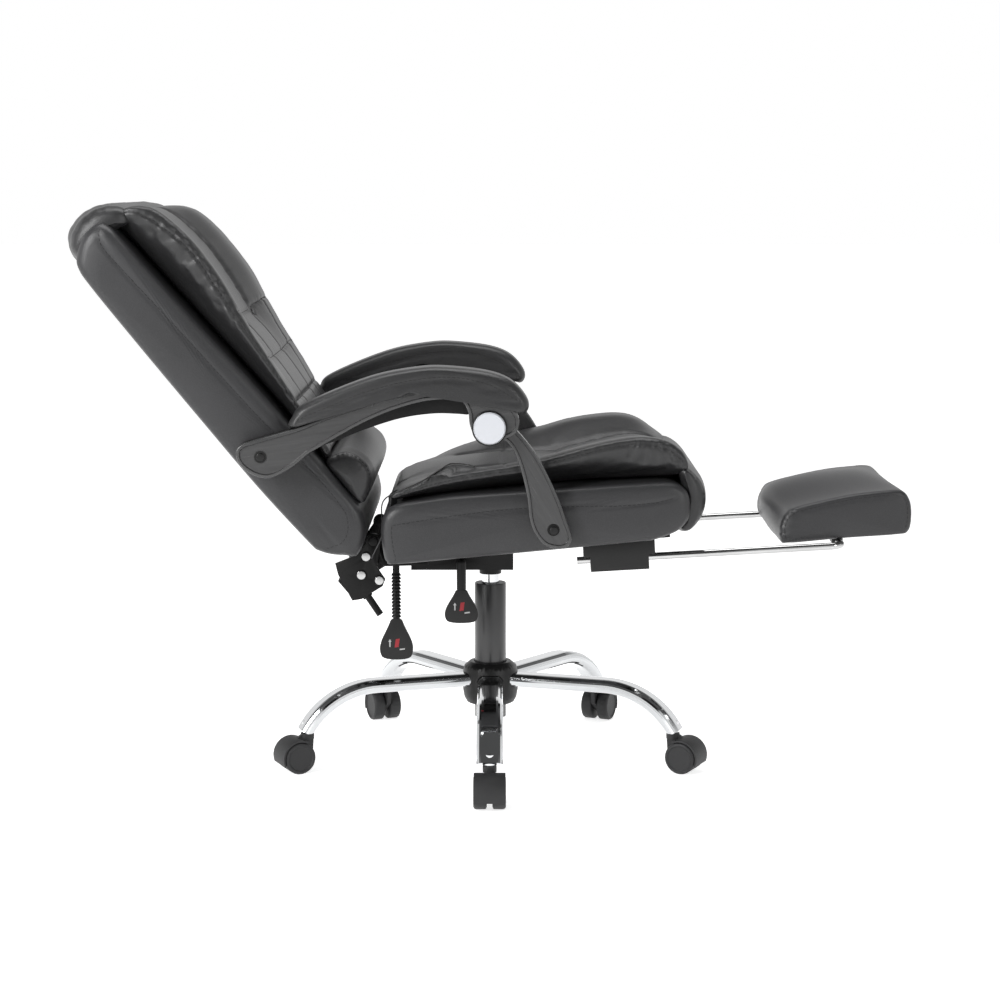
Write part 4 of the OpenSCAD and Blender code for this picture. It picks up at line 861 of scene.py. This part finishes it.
ROLL = [
    (286, 6), (292, 36), (296, 66), (294, 86), (290, 98), (289, 107), (294, 111), (305, 107), (318, 96), (329, 79),
    (333, 58), (329, 36), (319, 16), (300, 1)]
ROLL_END = [
    (288, 12), (292, 36), (296, 64), (295, 82), (292, 94), (292, 102), (298, 104), (308, 99), (318, 88), (326, 74),
    (329, 56), (325, 36), (315, 20), (300, 8)]
front_roll = lofted("seat_front_bolster", on_seat, [(-1, ROLL_END), (-0.7, ROLL), (0.7, ROLL), (1, ROLL_END)],
                    half=222, edge=20, end_share=0.86, rest=62, around=150, across=90)
for line in both(on_seat, [(302, 108), (318, 92), (328, 73), (331, 56), (327, 36), (314, 14)], 216).values():
    sew(front_roll, on_surface(front_roll, line, count=90), 1.4, 2.4, gathers=0.8, pitch=14, reach=9, seed=9)
upholster(front_roll, "seat", leather, ["seat_front_roll"])

# ---- back
BACK_BLOCK = [
    (10, -15), (16, 0), (28, 16), (44, 27), (64, 33), (120, 33), (239, 33), (318, 31), (397, 27), (520, 22), (589, 20),
    (614, 18), (627, 8), (628, -18), (614, -44), (597, -57), (560, -61), (450, -63), (314, -64), (180, -64), (68, -59),
    (50, -55), (33, -43), (21, -30), (12, -22)]
back_block = lofted("back_block", on_back, [(-1, BACK_BLOCK), (1, BACK_BLOCK)], half=245, edge=20,
                    end_share=0.78, rest=-20, around=330, across=150)
back_side_line = [(625, 8), (609, -3), (587, -8), (526, -5), (408, 1), (287, 6), (143, 16), (83, 15), (64, 11),
                  (46, -3), (40, -22), (46, -46)]
for side, label in SIDES:
    laid = on_surface(back_block, at_width(on_back, back_side_line, 250 * side), count=200)
    sew(back_block, laid, 1.5, 2.4, gathers=0.3, pitch=24, reach=14, seed=4)
    stitched(f"back_side_stitches_{label}", back_block, laid, "back")
upholster(back_block, "back", leather_painted_lit, ["back_base_cushion"])

# Head pillow and quilted panel: one cover, narrowed at the waist between them
FRONT_FOOT = [(626, 30), (606, 24), (500, 27), (397, 31), (270, 36)]
FRONT_NEAR = [
    (152, 38), (150, 46), (156, 52), (200, 57), (245, 62), (286, 67), (325, 72), (362, 76), (396, 82), (443, 91),
    (486, 95), (520, 96), (551, 93), (585, 86), (604, 76), (616, 62), (624, 44)] + FRONT_FOOT
FRONT_MIDDLE = [
    (152, 38), (150, 44), (156, 50), (200, 53), (245, 57), (286, 61), (325, 63), (362, 64), (396, 62), (443, 68),
    (486, 73), (520, 75), (551, 73), (585, 68), (604, 62), (616, 54), (624, 42)] + FRONT_FOOT
FRONT_FAR = [
    (152, 38), (150, 46), (156, 52), (200, 52), (244, 56), (286, 63), (345, 71), (370, 76), (396, 81), (448, 92),
    (493, 95), (540, 94), (578, 87), (600, 74), (614, 58), (620, 46), (624, 38)] + FRONT_FOOT
FRONT_SEAM = [
    (150, 50), (200, 56), (245, 63), (286, 65), (325, 69), (362, 72), (396, 73), (423, 77), (460, 80), (487, 84),
    (510, 84), (533, 82), (564, 75), (590, 68), (616, 56), (626, 40)]
front_pad = lofted("back_front_pad", on_back,
                   [(-1, FRONT_NEAR), (-0.9, FRONT_NEAR), (-0.56, FRONT_MIDDLE), (0.3, FRONT_MIDDLE),
                    (0.76, FRONT_FAR), (1, FRONT_FAR)],
                   half=223, edge=14, end_share=0.3, rest=FRONT_SEAM, around=210, across=110, dome=2)
tuck(front_pad, back_of, on_back, FRONT_PAD_BASE, FRONT_SEAM,
     [(150, 16), (250, 24), (450, 30), (560, 26), (620, 10)], start=140, end=223)
front_rim = both(on_back, raised(FRONT_SEAM, 1), 229)
quilt = [[on_back(397, 100, y) for y in (-212, -140, 0, 140, 212)]]
quilt += [[on_back(u, 100, y) for y in (-208, -140, 0, 140, 208)] for u in (238, 316)]
quilt += [[on_back(u, 100, y) for u in (152, 200, 260, 330, 396)] for y in (-152, -66, 66, 152)]
folds = both(on_back, [(400, 60), (430, 78), (500, 88), (560, 88), (600, 72), (622, 44)], 84)
held = [on_surface(front_pad, line, count=90) for line in (*front_rim.values(), *quilt, *folds.values())]
puff(front_pad, voxel=6, pressure=2.2, cap=3, seams=held)
refine(front_pad)
for line in folds.values():
    sew(front_pad, on_surface(front_pad, line, count=120), 3, 8, gathers=1.2, pitch=26, reach=18, seed=8)
for k, line in enumerate(quilt):
    laid = on_surface(front_pad, line, count=130)
    sew(front_pad, laid, 2.6 if k == 0 else 2.0, 3.2, gathers=0.7, pitch=16, reach=9, seed=20 + k)
    stitched(f"quilt_stitches_{k + 1}", front_pad, laid, "back")
for side, label in SIDES:
    laid = on_surface(front_pad, front_rim[side], count=220)
    sew(front_pad, laid, 1.8, 2.6)
    ruffled = on_surface(front_pad, at_width(on_back, raised(FRONT_SEAM[7:], 3), 227 * side), count=150)
    sew(front_pad, ruffled, 0.5, 3.4, gathers=0.7, pitch=26, reach=18, seed=11 + side)
    rng = random.Random(5 + side)
    u = 402
    while u < 612:
        level = float(np.interp(u, *zip(*FRONT_SEAM)))
        long, lean = rng.uniform(14, 34), rng.uniform(-12, 6)
        crease = [on_back(u + lean * t, level + 6 - long * t, (222 + 6 * math.sin(2.6 * t)) * side)
                  for t in (0, 0.25, 0.5, 0.75, 1)]
        sew(front_pad, on_surface(front_pad, crease, count=30), rng.uniform(1.4, 2.8), rng.uniform(5.2, 7.5))
        u += rng.uniform(15, 31)
    welt = on_surface(front_pad, at_width(on_back, raised(FRONT_SEAM[:8], 8), 222 * side), count=120)
    sew(front_pad, welt, 1.0, 1.8)
    stitched(f"front_pad_stitches_{label}", front_pad, laid, "back")
upholster(front_pad, "back", leather, ["head_pillow", "back_panel"])

WRAP_EDGE = [
    (602, -47), (622, -50), (637, -40), (646, -22), (649, 2), (644, 24), (632, 42), (616, 50), (600, 44), (602, 34),
    (606, 18), (608, -2), (607, -26), (600, -40)]
WRAP_MIDDLE = [
    (598, -58), (618, -62), (642, -54), (656, -36), (660, -10), (656, 12), (645, 32), (624, 48), (602, 44), (604, 34),
    (608, 18), (610, -4), (608, -30), (598, -48)]
wrap = lofted("head_wrap_pad", on_back, [(-1, WRAP_EDGE), (-0.7, WRAP_MIDDLE), (0.7, WRAP_MIDDLE), (1, WRAP_EDGE)],
              half=224, edge=22, end_share=0.7, rest=0, around=170, across=130)
for k, (u, n) in enumerate(((636, -44), (650, -24), (656, 0), (648, 22), (634, 40))):
    crease = [on_back(u + 3 * math.sin(y / 70 + k), n + 4 * math.sin(y / 55 + 2 * k), y)
              for y in range(-222, 223, 12)]
    sew(wrap, on_surface(wrap, crease, count=140), 0.7, 5.0, gathers=0.9, pitch=30, reach=14, seed=40 + k)
upholster(wrap, "back", leather, ["head_wrap"])

LUMBAR_MIDDLE = [
    (66, 36), (66, 50), (74, 66), (86, 79), (102, 85), (120, 83), (138, 74), (146, 58), (146, 36), (105, 34)]
LUMBAR_END = [(67, 36), (66, 49), (75, 63), (87, 75), (102, 81), (119, 79), (136, 71), (145, 56), (145, 36), (105, 34)]
lumbar = lofted("lumbar_bolster", on_back,
                [(-1, LUMBAR_END), (-0.8, LUMBAR_MIDDLE), (0.8, LUMBAR_MIDDLE), (1, LUMBAR_END)],
                half=222, edge=9, end_share=0.86, rest=46, around=120, across=120, dome=5)
lumbar_seams = both(on_back, [(67, 40), (68, 52), (76, 65), (88, 77), (104, 82), (122, 80), (138, 71), (145, 54)], 219)
for side, label in SIDES:
    laid = on_surface(lumbar, lumbar_seams[side], count=110)
    sew(lumbar, laid, 1.7, 2.2, gathers=0.8, pitch=10, reach=7, seed=31 + side)
    stitched(f"lumbar_stitches_{label}", lumbar, laid, "back")
upholster(lumbar, "back", leather, ["lumbar_roll"])
for piece in (lumbar, bpy.data.objects["lumbar_stitches_near"], bpy.data.objects["lumbar_stitches_far"]):
    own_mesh(piece)

# ---- footrest
REST_SIDE = [
    (66, 6), (64, 26), (73, 48), (92, 59), (165, 72), (217, 76), (250, 75), (263, 60), (265, 34), (259, 12), (240, 8),
    (163, 7), (80, 4)]
REST_CROWN = [
    (64, 8), (55, 40), (57, 58), (75, 75), (117, 85), (170, 89), (212, 88), (242, 79), (262, 60), (265, 34), (259, 12),
    (240, 8), (163, 7), (76, 4)]
REST_SEAM = [(70, 10), (69, 28), (76, 45), (96, 54), (165, 66), (217, 70), (248, 69), (258, 58), (260, 34), (254, 14)]
rest_pad = lofted("footrest_cushion", on_footrest, [(-1, REST_SIDE), (0, REST_CROWN), (1, REST_SIDE)],
                  half=165, edge=12, end_share=0.88, rest=36, around=220, across=130, dome=2)
for side, label in SIDES:
    laid = on_surface(rest_pad, at_width(on_footrest, REST_SEAM, 169 * side), count=120)
    sew(rest_pad, laid, 1.5, 2.2, gathers=0.5, pitch=14, reach=10, seed=51)
    corner = on_surface(rest_pad, at_width(on_footrest, [(66, 12), (66, 30), (76, 47), (98, 56)], 168 * side), count=60)
    sew(rest_pad, corner, 0.3, 2, gathers=1.6, pitch=8, reach=9, seed=57 + side)
    stitched(f"footrest_stitches_{label}", rest_pad, laid, "footrest")
upholster(rest_pad, "footrest", leather_painted_lit, ["footrest_pad"])

# ---- arm pads
ARM_PAD = [
    (46, 38), (54, 53), (68, 66), (125, 84), (186, 97), (245, 100), (286, 96), (346, 81), (380, 61), (398, 30),
    (388, 14), (366, 32), (330, 54), (284, 66), (241, 67), (153, 58), (70, 38)]
PAD_LEVEL = [(46, 42), (68, 51), (125, 66), (186, 77), (245, 83), (286, 81), (346, 62), (380, 42), (398, 24)]
PAD_MIDDLE = 263
PAD_SEAM = [(58, 42), (110, 56), (153, 68), (200, 76), (241, 79), (286, 77), (332, 64), (366, 43), (386, 26)]
for side, label in HANDS:
    pad = lofted(f"arm_pad_{label}", lambda a, b, y: on_arm(a, b, y + PAD_MIDDLE * side),
                 [(-1, ARM_PAD), (1, ARM_PAD)], half=30.5, edge=17, end_share=0.56, rest=PAD_LEVEL,
                 around=260, across=60, dome=2)
    for edge, end in SIDES:
        for lift, depth in ((0, 2.0), (5, 1.0)):
            laid = on_surface(pad, at_width(on_arm, raised(PAD_SEAM, lift), PAD_MIDDLE * side + 34 * edge), count=130)
            sew(pad, laid, depth, 1.8)
        stitched(f"arm_pad_{label}_stitches_{end}", pad, laid, "arms", lift=0.05)
    upholster(pad, "arms", leather, ["arm_pads"])


# ---- studio
def stage_finish(name, shown, bounced, glow=0.0, bounced_glow=0.0):
    """A floor or card in one grey for the eye and mirrors, which lights the chair with another."""
    material = bpy.data.materials.new(name)
    material.use_nodes = True
    tree = material.node_tree
    link = tree.links.new
    shader = tree.nodes["Principled BSDF"]
    light = add(tree, "ShaderNodeLightPath")
    for socket, seen, spread in (("Base Color", shown, bounced), ("Emission Strength", glow, bounced_glow)):
        level = add(tree, "ShaderNodeMapRange", **{"To Min": seen, "To Max": spread})
        link(light.outputs["Is Diffuse Ray"], level.inputs["Value"])
        link(level.outputs[0], shader.inputs[socket])
    shader.inputs["Roughness"].default_value = 0.9
    shader.inputs["Emission Color"].default_value = (1, 1, 1, 1)
    return material


def stage_plane(name, size, place, turn, material, seen=True):
    bpy.ops.mesh.primitive_plane_add(size=1, location=place, rotation=turn)
    plane = bpy.context.object
    plane.name = name
    plane.scale = (*size, 1)
    plane.data.materials.append(material)
    plane.visible_camera = seen


stage_plane("studio_floor", (60, 60), (0, 0, 0), (0, 0, 0), stage_finish("studio_floor", 0.95, 0.25, 0.72, 0.1))
stage_plane("dark_card", (1.5, 2.6), (0, -4.6, 1.9), (math.radians(90), 0, 0),
            stage_finish("studio_dark_card", 0.01, 0.01), seen=False)

# White all round for the eye; in reflections the ceiling of the studio is dark
world = bpy.data.worlds.new("studio_world")
world.use_nodes = True
tree = world.node_tree
link = tree.links.new
background = tree.nodes["Background"]
background.inputs["Color"].default_value = (1, 1, 1, 1)
light = add(tree, "ShaderNodeLightPath")
split = add(tree, "ShaderNodeSeparateXYZ")
link(add(tree, "ShaderNodeTexCoord").outputs["Generated"], split.inputs[0])
ceiling = add(tree, "ShaderNodeMapRange", interpolation_type="SMOOTHSTEP",
              **{"From Min": 0.3, "From Max": 0.62, "To Min": 1.0, "To Max": 0.1})
link(split.outputs["Z"], ceiling.inputs["Value"])
level = ceiling.outputs[0]
for ray, strength in (("Is Diffuse Ray", 0.3), ("Is Camera Ray", 1.0)):
    mixed = add(tree, "ShaderNodeMix", B=strength)
    link(light.outputs[ray], mixed.inputs["Factor"])
    link(level, mixed.inputs["A"])
    level = mixed.outputs["Result"]
link(level, background.inputs["Strength"])
scene.world = world
scene.view_settings.view_transform = "Standard"


def softbox(name, place, aim, size, power):
    """A rectangular light at place, turned to aim at a point."""
    data = bpy.data.lights.new(name, "AREA")
    data.shape, data.size, data.size_y, data.energy = "RECTANGLE", *size, power
    light = bpy.data.objects.new(name, data)
    light.location = place
    light.rotation_euler = (Vector(aim) - Vector(place)).to_track_quat("-Z", "Y").to_euler()
    scene.collection.objects.link(light)


softbox("overhead_softbox", (-0.1, 0.3, 2.6), (0, 0, 0.4), (2.4, 1.1), 34)
softbox("left_softbox", (-2.4, -2.2, 1.9), (-0.2, 0, 0.5), (0.8, 1.6), 84)
softbox("right_softbox", (2.2, -2.4, 1.7), (0.2, 0, 0.4), (0.8, 1.4), 16)
